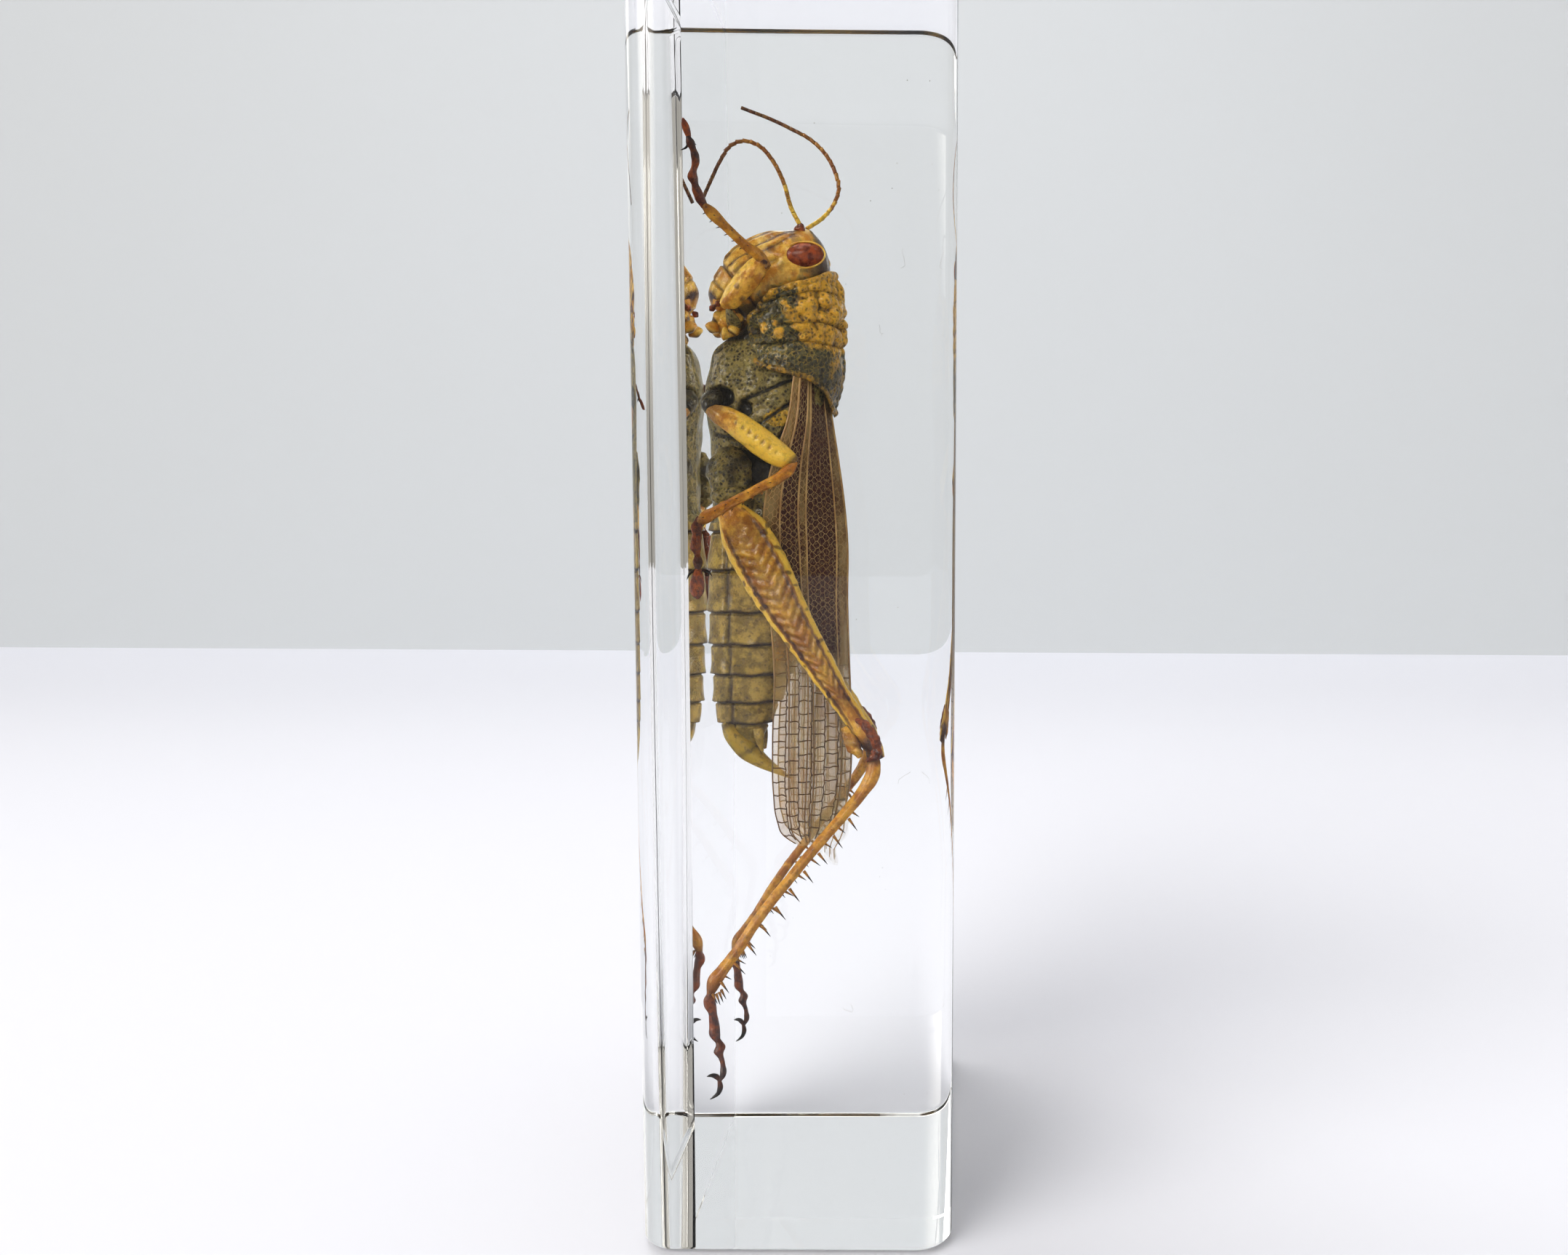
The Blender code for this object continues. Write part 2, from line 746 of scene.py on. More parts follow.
def speck_tree() -> Tree:
    """A tree that scatters dust through a box.

    Returns:
        The tree, with the inputs Count, Low, High, Size, Seed and Material.
    """
    tree = Tree(
        "dust_specks", Count=60, Low=(-0.01, -0.01, 0.0), High=(0.01, 0.01, 0.1), Size=0.0001, Seed=1,
        Material=None,
    )
    dots = tree.add("Points", Count=tree.given("Count"))
    where = tree.add(
        "FunctionNodeRandomValue", {"data_type": "FLOAT_VECTOR"}, n0=tree.given("Low"),
        n1=tree.given("High")
    )
    tree.group.links.new(tree.given("Seed"), where.inputs["Seed"])
    tree.group.links.new(where.outputs[0], dots.inputs["Position"])
    share = tree.add("FunctionNodeRandomValue", {"data_type": "FLOAT_VECTOR"}, n0=(0.3,) * 3, n1=(1.0,) * 3)
    tree.group.links.new(tree.given("Seed"), share.inputs["Seed"])
    size = tree.add(
        "ShaderNodeVectorMath", {"operation": "SCALE"}, n0=share.outputs[0], Scale=tree.given("Size")
    )
    ball = tree.add("MeshIcoSphere", Radius=1.0, Subdivisions=2)
    put = tree.add(
        "InstanceOnPoints", Points=dots.outputs[0], Instance=ball.outputs[0], Scale=size.outputs[0]
    )
    return tree.end(put.outputs[0])


# ---------------------------------------------------------------- finishes


class Shading:
    """A material's nodes, with short ways to add and join them."""

    def __init__(self, name: str) -> None:
        """Start a material that has a Principled shader and an output.

        Args:
            name: the material's name.
        """
        self.material = bpy.data.materials.new(name)
        self.material.use_nodes = True
        self.tree = self.material.node_tree
        self.shader = self.tree.nodes["Principled BSDF"]
        self.output = self.tree.nodes["Material Output"]

    def add(self, kind: str, settings: dict[str, Any] | None = None, **feeds: Any) -> bpy.types.Node:
        """Add a shader node.

        Args:
            kind: its type, less the word ShaderNode.
            settings: properties of the node itself.
            feeds: values or sockets for its inputs, as in fed_node.

        Returns:
            The node.
        """
        return fed_node(self.tree, "ShaderNode" + kind, settings, feeds)

    def plain(self, **values: Any) -> None:
        """Set the shader's own sockets, named with _ for a space."""
        for key, value in values.items():
            self.shader.inputs[key.replace("_", " ")].default_value = value

    def feed(self, key: str, socket: Socket) -> None:
        """Join a socket to one of the shader's inputs."""
        self.tree.links.new(socket, self.shader.inputs[key])

    def place(self) -> Socket:
        """The piece's own Object coordinates."""
        return self.add("TexCoord").outputs["Object"]

    def mark(self, key: str) -> Socket:
        """One of the mesh's own attributes."""
        return self.add("Attribute", {"attribute_name": key}).outputs["Fac"]

    def blend(self, share: Any, first: Any, second: Any, how: str = "MIX") -> Socket:
        """Mix two colours.

        Args:
            share: how much of the second, as a value or a socket.
            first: a colour or a socket.
            second: a colour or a socket.
            how: the way of mixing.

        Returns:
            The mixed colour's socket.
        """
        node = self.tree.nodes.new("ShaderNodeMix")
        node.data_type = "RGBA"
        node.blend_type = how
        for socket, value in ((node.inputs[0], share), (node.inputs[6], first), (node.inputs[7], second)):
            if isinstance(value, Socket):
                self.tree.links.new(value, socket)
            elif isinstance(value, tuple):
                socket.default_value = (*value, 1.0)
            else:
                socket.default_value = value
        return node.outputs[2]

    def span(self, value: Socket, low: float, high: float, to: Point2 = (0.0, 1.0)) -> Socket:
        """Stretch a range of a value to another range, and clamp it there."""
        node = self.add("MapRange", Value=value, n1=low, n2=high, n3=to[0], n4=to[1])
        return node.outputs[0]

    def sum(self, first: Any, second: Any, how: str = "ADD") -> Socket:
        """Join two values by a sum or by another operation."""
        return self.add("Math", {"operation": how}, n0=first, n1=second).outputs[0]


@dataclass(frozen=True)
class ShellFinish:
    """The insect's horny skin: blotched, pitted, slightly see-through and flecked with painted glints.

    The mark tint turns it to the accent colour, and the mark tone to the dark one. Its
    grain is a web of fine raised threads between small dark pits.
    """

    name: str
    light: Colour
    mid: Colour
    dark: Colour
    accent: Colour = (0.62, 0.36, 0.05)
    thread: Colour = (0.86, 0.60, 0.16)
    blotch: float = 1.6
    grain: float = 0.28
    grain_depth: float = 0.05
    pit: float = 0.3
    web: float = 0.0
    mottle: float = 0.0
    roughness: float = 0.36
    glow: float = 0.12

    def material(self) -> bpy.types.Material:
        """Make the material.

        Returns:
            The material, driven by Object coordinates and the mesh's marks.
        """
        s = Shading(self.name)
        where = s.place()
        blotch = s.add("TexNoise", Vector=where, Scale=1 / (self.blotch * MM), Detail=6.0, Roughness=0.65)
        patch = s.add(
            "TexNoise", Vector=where, Scale=1 / (self.blotch * 0.45 * MM), Detail=4.0, Roughness=0.6
        )
        fine = s.add("TexNoise", Vector=where, Scale=1 / (self.grain * 0.6 * MM), Detail=4.0, Roughness=0.7)
        sway = s.add(
            "VectorMath", {"operation": "SCALE"}, n0=fine.outputs["Color"],
            Scale=self.grain * 0.45 * MM,
        )
        swayed = s.add("VectorMath", {"operation": "ADD"}, n0=where, n1=sway.outputs[0])
        size = 1 / (self.grain * MM)
        cells = s.add("TexVoronoi", Vector=swayed.outputs[0], Scale=size)
        walls = s.add("TexVoronoi", {"feature": "DISTANCE_TO_EDGE"}, Vector=swayed.outputs[0], Scale=size)
        colour = s.blend(s.span(blotch.outputs[0], 0.42, 0.58), self.mid, self.light)
        tint = s.sum(s.mark("tint"), s.span(blotch.outputs[0], 0.3, 0.7, (-0.45, 0.45)))
        tint = s.sum(tint, s.span(s.mark("tint"), 0.0, 0.12), "MULTIPLY")
        colour = s.blend(s.span(tint, 0.25, 0.6), colour, self.accent)
        spot = s.span(patch.outputs[0], 0.54, 0.64, (0.0, self.mottle))
        colour = s.blend(spot, colour, self.dark)
        line = s.span(walls.outputs["Distance"], 0.03, 0.14, (self.web, 0.0))
        line = s.sum(line, s.span(patch.outputs[0], 0.40, 0.56), "MULTIPLY")
        pit = s.span(cells.outputs["Distance"], 0.12, 0.42, (self.pit, 0.0))
        colour = s.blend(pit, colour, self.dark)
        colour = s.blend(line, colour, self.thread)
        # Painted glints: light flecks of the light colour stand in for small highlights.
        painted_glint = s.span(fine.outputs[0], 0.56, 0.74, (0.0, 0.45))
        colour = s.blend(painted_glint, colour, self.light)
        tone = s.sum(s.mark("tone"), s.span(fine.outputs[0], 0.2, 0.8, (0.7, 1.25)), "MULTIPLY")
        colour = s.blend(s.span(tone, 0.0, 1.0), colour, self.dark)
        deep = s.add("Gamma", Color=colour, Gamma=1.28)
        s.feed("Base Color", deep.outputs[0])
        s.feed(
            "Roughness",
            s.span(fine.outputs[0], 0.3, 0.7, (self.roughness - 0.12, self.roughness + 0.12)),
        )
        rise = s.span(walls.outputs["Distance"], 0.0, 0.3, (0.5, 0.0))
        sink = s.span(cells.outputs["Distance"], 0.0, 0.45, (-0.6, 0.0))
        height = s.sum(s.sum(rise, sink), s.span(fine.outputs[0], 0.2, 0.8, (0.0, 0.6)))
        bump = s.add("Bump", Strength=0.85, Distance=self.grain_depth * MM, Height=height)
        s.feed("Normal", bump.outputs[0])
        s.plain(Subsurface_Weight=self.glow, Subsurface_Radius=(1.0, 0.5, 0.18), Subsurface_Scale=0.45 * MM)
        s.plain(Coat_Weight=0.55, Coat_Roughness=0.12, IOR=1.56, Specular_IOR_Level=0.25)
        return s.material


@dataclass(frozen=True)
class MembraneFinish:
    """A wing's thin skin, which lets the light through."""

    name: str
    light: Colour
    mid: Colour
    dark: Colour
    clear: float
    solid: float

    def material(self) -> bpy.types.Material:
        """Make the material.

        Returns:
            The material. The mark tone turns it dark and solid.
        """
        s = Shading(self.name)
        where = s.place()
        long = s.add("Mapping", Vector=where, Scale=(1.0, 1.0, 0.4))
        cloud = s.add("TexNoise", Vector=long.outputs[0], Scale=620.0, Detail=6.0, Roughness=0.62)
        fine = s.add("TexNoise", Vector=where, Scale=5200.0, Detail=3.0)
        tone = s.sum(s.mark("tone"), s.span(cloud.outputs[0], 0.3, 0.7, (-0.28, 0.28)))
        tone = s.span(tone, 0.15, 0.85)
        colour = s.blend(s.span(cloud.outputs[0], 0.4, 0.6), self.light, self.mid)
        colour = s.blend(tone, colour, self.dark)
        colour = s.blend(s.span(fine.outputs[0], 0.5, 0.75, (0.0, 0.3)), colour, self.light)
        s.feed("Base Color", colour)
        s.feed("Alpha", s.span(tone, 0.0, 1.0, (self.clear, self.solid)))
        bump = s.add("Bump", Strength=0.7, Distance=0.05 * MM, Height=fine.outputs[0])
        s.feed("Normal", bump.outputs[0])
        s.feed("Roughness", s.span(fine.outputs[0], 0.3, 0.7, (0.22, 0.45)))
        s.plain(Subsurface_Weight=0.1, Subsurface_Radius=(1.0, 0.6, 0.3), Subsurface_Scale=0.2 * MM)
        s.plain(Specular_IOR_Level=0.2)
        return s.material


@dataclass(frozen=True)
class EyeFinish:
    """A dried compound eye: red-brown, mottled and finely faceted."""

    name: str = "compound_eye"
    light: Colour = (0.52, 0.105, 0.016)
    dark: Colour = (0.15, 0.020, 0.005)
    facet: float = 0.07

    def material(self) -> bpy.types.Material:
        """Make the material.

        Returns:
            The material.
        """
        s = Shading(self.name)
        where = s.place()
        cloud = s.add("TexNoise", Vector=where, Scale=1500.0, Detail=5.0, Roughness=0.65)
        cells = s.add("TexVoronoi", Vector=where, Scale=1 / (self.facet * MM), Randomness=0.35)
        colour = s.blend(s.span(cloud.outputs[0], 0.38, 0.62), self.dark, self.light)
        colour = s.blend(s.span(cells.outputs["Distance"], 0.3, 0.6, (0.0, 0.5)), colour, self.dark)
        s.feed("Base Color", colour)
        s.feed("Roughness", s.span(cloud.outputs[0], 0.3, 0.7, (0.2, 0.42)))
        bump = s.add(
            "Bump", {"invert": True}, Strength=0.5, Distance=0.02 * MM,
            Height=cells.outputs["Distance"],
        )
        s.feed("Normal", bump.outputs[0])
        s.plain(Coat_Weight=0.4, Coat_Roughness=0.1, Subsurface_Weight=0.12, Specular_IOR_Level=0.2)
        s.plain(Subsurface_Radius=(1.0, 0.25, 0.1), Subsurface_Scale=0.5 * MM)
        return s.material


@dataclass(frozen=True)
class SpineFinish:
    """Amber spines and claws that turn black towards the tip."""

    name: str
    root: Colour
    tip: Colour = (0.012, 0.008, 0.006)
    turn: Point2 = (0.35, 0.62)

    def material(self) -> bpy.types.Material:
        """Make the material.

        Returns:
            The material. The mark tone runs from 0 at the root to 1 at the tip.
        """
        s = Shading(self.name)
        fine = s.add("TexNoise", Vector=s.place(), Scale=3500.0, Detail=3.0)
        tone = s.sum(s.mark("tone"), s.span(fine.outputs[0], 0.3, 0.7, (-0.08, 0.08)))
        colour = s.blend(s.span(tone, *self.turn), self.root, self.tip)
        s.feed("Base Color", colour)
        s.feed("Roughness", s.span(fine.outputs[0], 0.3, 0.7, (0.25, 0.42)))
        s.plain(Subsurface_Weight=0.1, Subsurface_Radius=(1.0, 0.5, 0.2), Subsurface_Scale=0.3 * MM)
        s.plain(Specular_IOR_Level=0.25)
        return s.material


@dataclass(frozen=True)
class ResinFinish:
    """Clear casting resin, polished, with the faintest cool tint in its depth."""

    name: str = "clear_resin"
    ior: float = 1.5
    tint: Colour = (0.90, 0.945, 0.94)
    density: float = 4.0

    def material(self) -> bpy.types.Material:
        """Make the material.

        Returns:
            The material, with plain transmission, IOR and absorption.
        """
        s = Shading(self.name)
        s.plain(Base_Color=(1.0, 1.0, 1.0, 1.0), Roughness=0.0, IOR=self.ior, Transmission_Weight=1.0)
        if self.density > 0:
            wave = s.add("TexNoise", Vector=s.place(), Scale=55.0, Detail=2.0)
            bump = s.add("Bump", Strength=0.25, Distance=0.05 * MM, Height=wave.outputs[0])
            s.feed("Normal", bump.outputs[0])
            soak = s.add("VolumeAbsorption", Color=(*self.tint, 1.0), Density=self.density)
            s.tree.links.new(soak.outputs[0], s.output.inputs["Volume"])
        return s.material


@dataclass(frozen=True)
class DustFinish:
    """Dust and lint caught in the resin."""

    name: str
    colour: Colour
    roughness: float = 0.7

    def material(self) -> bpy.types.Material:
        """Make the material.

        Returns:
            The material.
        """
        s = Shading(self.name)
        fine = s.add("TexNoise", Vector=s.place(), Scale=2500.0, Detail=2.0)
        dim = tuple(c * 0.55 for c in self.colour)
        s.feed("Base Color", s.blend(s.span(fine.outputs[0], 0.35, 0.65), self.colour, dim))
        s.plain(Roughness=self.roughness)
        return s.material


@dataclass(frozen=True)
class StageFinish:
    """A matt studio surface."""

    name: str
    colour: Colour

    def material(self) -> bpy.types.Material:
        """Make the material.

        Returns:
            The material.
        """
        s = Shading(self.name)
        soft = s.add("TexNoise", Vector=s.place(), Scale=3.0, Detail=3.0)
        dim = tuple(c * 0.97 for c in self.colour)
        s.feed("Base Color", s.blend(soft.outputs[0], self.colour, dim))
        s.plain(Roughness=0.75)
        return s.material


class Palette:
    """Every finish of the insect, made once."""

    def __init__(self) -> None:
        """Make the materials."""
        self.face = ShellFinish(
            "face_shell", (0.98, 0.70, 0.17), (0.72, 0.37, 0.025), (0.085, 0.018, 0.003),
            accent=(0.30, 0.21, 0.07), blotch=1.5, grain=0.22, grain_depth=0.04, pit=0.06, mottle=0.14,
        ).material()
        self.collar = ShellFinish(
            "pronotum_shell", (0.26, 0.23, 0.09), (0.115, 0.112, 0.048), (0.020, 0.010, 0.003),
            accent=(0.88, 0.54, 0.05), thread=(0.92, 0.64, 0.13), blotch=1.0, grain=0.42,
            grain_depth=0.12, pit=0.6, web=0.45, mottle=0.40,
        ).material()
        self.chest = ShellFinish(
            "thorax_shell", (0.46, 0.37, 0.13), (0.22, 0.18, 0.065), (0.016, 0.010, 0.004),
            accent=(0.78, 0.52, 0.05), thread=(0.56, 0.47, 0.19), blotch=1.2, grain=0.40,
            grain_depth=0.12, pit=0.9, web=0.5, mottle=0.45,
        ).material()
        self.belly = ShellFinish(
            "abdomen_shell", (0.66, 0.49, 0.13), (0.36, 0.26, 0.055), (0.050, 0.018, 0.003),
            accent=(0.72, 0.53, 0.09), thread=(0.66, 0.52, 0.20), blotch=1.4, grain=0.30, grain_depth=0.035,
            pit=0.15, web=0.12, mottle=0.45, glow=0.18,
        ).material()
        self.thigh = ShellFinish(
            "leg_shell", (0.95, 0.62, 0.12), (0.62, 0.30, 0.022), (0.12, 0.034, 0.006),
            accent=(0.98, 0.70, 0.13), blotch=1.3, grain=0.26, grain_depth=0.035, pit=0.08, mottle=0.20,
            glow=0.18,
        ).material()
        self.shank = ShellFinish(
            "shank_shell", (0.88, 0.52, 0.075), (0.58, 0.26, 0.018), (0.075, 0.015, 0.003),
            accent=(0.70, 0.38, 0.04), blotch=1.8, grain=0.2, grain_depth=0.03, pit=0.10, mottle=0.28,
            glow=0.18,
        ).material()
        self.foot = ShellFinish(
            "foot_shell", (0.50, 0.15, 0.012), (0.22, 0.045, 0.005), (0.018, 0.004, 0.002),
            blotch=0.8, grain=0.18, grain_depth=0.04, pit=0.25, mottle=0.45, thread=(0.5, 0.2, 0.03),
        ).material()
        self.feeler = ShellFinish(
            "antenna_shell", (0.62, 0.34, 0.05), (0.36, 0.14, 0.016), (0.05, 0.013, 0.006),
            accent=(0.92, 0.66, 0.12), blotch=1.2, grain=0.15, grain_depth=0.02, pit=0.12,
        ).material()
        self.membrane = MembraneFinish(
            "wing_membrane", (0.88, 0.64, 0.28), (0.70, 0.42, 0.12), (0.060, 0.012, 0.005), 0.26, 0.96
        ).material()
        self.film = MembraneFinish(
            "hindwing_film", (0.86, 0.74, 0.50), (0.70, 0.54, 0.28), (0.20, 0.11, 0.05), 0.05, 0.25
        ).material()
        self.vein = ShellFinish(
            "wing_vein", (0.66, 0.47, 0.22), (0.50, 0.32, 0.13), (0.060, 0.020, 0.008),
            accent=(0.60, 0.45, 0.24), blotch=2.5, grain=0.2, grain_depth=0.01, pit=0.05,
        ).material()
        self.eye = EyeFinish().material()
        self.spine = SpineFinish("amber_spine", (0.48, 0.22, 0.04)).material()
        self.claw = SpineFinish("dark_claw", (0.13, 0.035, 0.012), turn=(0.0, 0.45)).material()


# ---------------------------------------------------------------- the insect


@dataclass
class Workshop:
    """What every part of the insect draws on: finishes, trees and the list of pieces."""

    palette: Palette = field(default_factory=Palette)
    tubes: Tree = field(default_factory=tube_tree)
    beads: Tree = field(default_factory=bead_tree)
    spines: Tree = field(default_factory=spine_tree)
    specks: Tree = field(default_factory=speck_tree)
    pieces: list[Thing] = field(default_factory=list)

    def keep(self, piece: Thing, finish: bpy.types.Material | None = None) -> Thing:
        """Dress a piece, tie it to the block and report it.

        Args:
            piece: the finished mesh.
            finish: its material, or None where its tree has given it one.

        Returns:
            The same piece.
        """
        if finish is not None:
            piece.data.materials.clear()
            piece.data.materials.append(finish)
        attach(piece, BODY)
        self.pieces.append(piece)
        LOG.info("%s: %d faces", piece.name, len(piece.data.polygons))
        return piece

    def veins(self, name: str, net: Thing, sides: int) -> Thing:
        """Turn a wing's net into tubes with the vein's finish."""
        return self.tubes.grow(name, net, {"Sides": sides, "Material": self.palette.vein})

    def row_of_spines(
        self, name: str, path: Sequence[Point3], count: int, length: float, thick: float,
        lean: Point3, uneven: float, seed: int,
    ) -> Thing:
        """Grow a row of spines along a path.

        Args:
            name: the row's name.
            path: where their roots run, in millimetres.
            count: how many there are.
            length: how long the longest is, in millimetres.
            thick: their radius at the root, in millimetres.
            lean: the way they point.
            uneven: the share by which the shortest falls short.
            seed: picks their lengths.

        Returns:
            The row as one mesh.
        """
        line = flow(path, max(len(path) * 3, 8))
        net = wires(
            name + "_line", line, [(i, i + 1) for i in range(len(line) - 1)], np.full(len(line), thick)
        )
        return self.spines.grow(
            name,
            net,
            {
                "Count": count,
                "Length": length * MM,
                "Thick": thick * MM,
                "Lean": lean,
                "Uneven": uneven,
                "Seed": seed,
                "Material": self.palette.spine,
            },
        )


@dataclass
class Head:
    """The head: a capsule whose long face slopes down to the mouth, with eyes and palps."""

    shop: Workshop
    cuts: tuple[Cut, ...] = (
        Cut((-0.4, 92.15), (0.4, 91.95), 0.5),
        Cut((-1.3, 92.05), (1.3, 90.9), 1.8),
        Cut((-2.8, 91.85), (2.0, 88.9), 2.8, power=2.2),
        Cut((-4.4, 91.5), (1.7, 86.5), 3.25, power=2.3),
        Cut((-5.9, 90.8), (0.0, 85.4), 3.3, power=2.4),
        Cut((-7.2, 89.8), (-2.5, 84.5), 3.1, power=2.4),
        Cut((-8.3, 88.5), (-4.6, 84.0), 2.7, power=2.3),
        Cut((-9.1, 87.1), (-6.1, 83.9), 2.2, power=2.2),
        Cut((-9.35, 85.9), (-7.3, 84.0), 1.6),
        Cut((-9.1, 84.9), (-8.2, 84.4), 0.7),
    )
    eye_centre: Point3 = (-0.1, 2.75, 89.35)
    eye_size: Point3 = (1.85, 1.0, 1.12)
    eye_turn: float = 3.0

    def relief(self, at: Surface) -> Grid:
        """The face's keels, sutures and soft dents, in millimetres.

        Args:
            at: the places on the surface.

        Returns:
            Heights in millimetres.
        """
        front = at.front
        keels = (
            0.22 * bell(front - 0.16, 0.06) + 0.20 * bell(front - 0.64, 0.08)
            + 0.10 * bell(front - 1.0, 0.08)
        )
        groove = (
            -0.16 * bell(front, 0.08) - 0.16 * bell(front - 0.40, 0.07)
            - 0.12 * bell(front - 0.86, 0.06)
        )
        face = step(at.along, 0.1, 0.2) * step(0.72 - at.along, 0.0, 0.06)
        mouth = -0.24 * bell(at.along - 0.735, 0.012) - 0.14 * bell(at.along - 0.86, 0.012)
        cheek = -0.20 * bell(front - 1.45, 0.05) * step(at.along, 0.3, 0.4)
        return (keels + groove) * face + mouth + cheek + 0.05 * ripple(at.points, 0.9, 11)

    def tone(self, at: Surface) -> Grid:
        """Where the face is dark: the sutures, the jaw and the antenna sockets.

        Args:
            at: the places on the surface.

        Returns:
            From 0 where it is plain to 1 where it is darkest.
        """
        front = at.front
        seams = 0.8 * bell(at.along - 0.735, 0.014) + 0.6 * bell(at.along - 0.86, 0.012)
        seams += 0.55 * bell(front - 1.45, 0.045) * step(at.along, 0.32, 0.4)
        sockets = 0.9 * bell(np.hypot(at.along - 0.1, (front - 0.75) * 0.12), 0.05)
        jaw = 0.8 * bell(at.along - 0.95, 0.025)
        wear = 0.35 * step(ripple(at.points, 0.9, 12), 0.35, 0.8)
        sway = 0.05 * ripple(at.points, 1.3, 13)
        lines = 0.0
        for place, power in ((0.26, 0.7), (0.44, 0.95), (0.86, 0.9), (1.16, 0.7)):
            lines = lines + power * bell(front - place - sway, 0.045)
        lines = lines * step(at.along, 0.08, 0.2) * step(0.74 - at.along, 0.0, 0.05)
        nape = 0.8 * step(front, 2.15, 2.5) * step(0.5 - at.along, 0.0, 0.1)
        return np.clip(seams + sockets + jaw + wear + lines + nape, 0, 1)

    def tint(self, at: Surface) -> Grid:
        """Where the cheek turns grey-brown, behind the eye and towards the neck."""
        front = at.front
        return step(front, 1.7, 2.4) * 0.9

    def eye(self, side: Side) -> Thing:
        """One compound eye, a smooth egg set in the side of the head.

        Args:
            side: which eye.

        Returns:
            The eye.
        """
        x, y, z = self.eye_centre
        wide, deep, high = self.eye_size
        turn = math.radians(self.eye_turn)
        cuts = []
        for t in np.linspace(-0.995, 0.995, 15):
            r = math.sqrt(1 - t * t)
            cx, cz = x + t * wide * math.cos(turn), z + t * wide * math.sin(turn)
            top = (cx - high * r * math.sin(turn), cz + high * r * math.cos(turn))
            low = (cx + high * r * math.sin(turn), cz - high * r * math.cos(turn))
            cuts.append(Cut(top, low, deep * r, side.value * y))
        return Loft(cuts, 48, 48).build(f"eye_{side.word}")

    def socket_rim(self, side: Side) -> Thing:
        """The narrow raised rim round an eye.

        Args:
            side: which eye.

        Returns:
            The rim, a thin closed ring.
        """
        x, y, z = self.eye_centre
        wide, _, high = self.eye_size
        turns = np.linspace(0, 2 * math.pi, 64, endpoint=False)
        ring = np.stack(
            [
                x + (wide + 0.06) * np.cos(turns),
                np.full(64, side.value * (y + 0.28)),
                z + (high + 0.06) * np.sin(turns) + 0.05 * np.cos(turns),
            ],
            -1,
        )
        net = wires(
            f"eye_rim_{side.word}_line", ring, [(i, (i + 1) % 64) for i in range(64)],
            np.full(64, 0.09),
        )
        return self.shop.tubes.grow(
            f"eye_rim_{side.word}", net, {"Sides": 8, "Material": self.shop.palette.face}
        )

    def palp(self, name: str, path: Sequence[Point3], radius: float) -> Thing:
        """A jointed feeler of the mouth.

        Args:
            name: its name.
            path: its joints.
            radius: half its width.

        Returns:
            The palp as one mesh of swollen segments.
        """
        count = len(path) - 1
        stops, wide = [], []
        for k in range(count):
            a, b = np.array(path[k]), np.array(path[k + 1])
            for t, w in ((0.04, 0.55), (0.3, 0.95), (0.7, 1.1), (0.96, 0.7)):
                stops.append(tuple(a + (b - a) * t))
                wide.append(w * radius)
        wide[0], wide[-1] = 0.3 * radius, 0.25 * radius

        def joints(at: Surface) -> Grid:
            """Dark rings where two segments meet.

            Args:
                at: the places on the surface.

            Returns:
                From 0 where it is plain to 1 where it is darkest.
            """
            share = (at.along * count) % 1.0
            return 0.9 * bell(share, 0.12) + 0.9 * bell(share - 1.0, 0.12)

        return Loft(bent_limb(stops, wide, wide), 16 * count, 18, marks={"tone": joints}).build(name)

    def build(self) -> None:
        """Make and dress the head and what is on it."""
        palette = self.shop.palette
        capsule = Loft(self.cuts, 150, 144, self.relief, {"tone": self.tone, "tint": self.tint})
        self.shop.keep(capsule.build("head"), palette.face)
        for side in Side:
            s = side.value
            self.shop.keep(self.eye(side), palette.eye)
            self.shop.keep(self.socket_rim(side))
            jaw = (
                Cut((-8.5, 86.0), (-7.7, 85.6), 0.2, s * 1.3),
                Cut((-8.8, 85.4), (-7.2, 84.9), 0.5, s * 1.4),
                Cut((-8.7, 84.8), (-7.2, 84.3), 0.5, s * 1.3),
                Cut((-8.3, 84.2), (-7.7, 84.0), 0.2, s * 1.1),
            )
            self.shop.keep(Loft(jaw, 24, 24).build(f"jaw_{side.word}"), palette.shank)
            lobe = (
                Cut((-7.9, 84.5), (-6.7, 84.4), 0.3, s * 1.6),
                Cut((-8.3, 83.9), (-6.4, 83.6), 0.7, s * 1.9),
                Cut((-8.2, 83.0), (-6.5, 82.8), 0.7, s * 2.0),
                Cut((-7.6, 82.4), (-6.9, 82.3), 0.25, s * 1.9),
            )
            self.shop.keep(Loft(lobe, 26, 24).build(f"mouth_lobe_{side.word}"), palette.face)
            long_palp = (
                (-6.5, s * 2.2, 84.2), (-6.3, s * 2.7, 83.0), (-7.0, s * 2.9, 82.1),
                (-8.0, s * 2.8, 82.2),
            )
            short_palp = ((-7.6, s * 1.6, 84.2), (-8.5, s * 1.9, 83.4), (-9.0, s * 1.9, 82.3))
            back_palp = ((-7.9, s * 2.2, 85.2), (-8.4, s * 2.4, 84.8), (-9.0, s * 2.4, 84.3))
            self.shop.keep(self.palp(f"long_palp_{side.word}", long_palp, 0.52), palette.face)
            self.shop.keep(self.palp(f"short_palp_{side.word}", short_palp, 0.62), palette.face)
            self.shop.keep(self.palp(f"back_palp_{side.word}", back_palp, 0.26), palette.foot)
            socket = (
                Cut((-1.25, 91.75), (-0.55, 91.15), 0.15, s * 1.05),
                Cut((-1.15, 92.1), (-0.25, 91.5), 0.42, s * 1.15),
                Cut((-0.85, 92.4), (-0.15, 91.95), 0.36, s * 1.2),
                Cut((-0.7, 92.6), (-0.3, 92.4), 0.15, s * 1.2),
            )
            self.shop.keep(Loft(socket, 20, 24).build(f"antenna_base_{side.word}"), palette.foot)


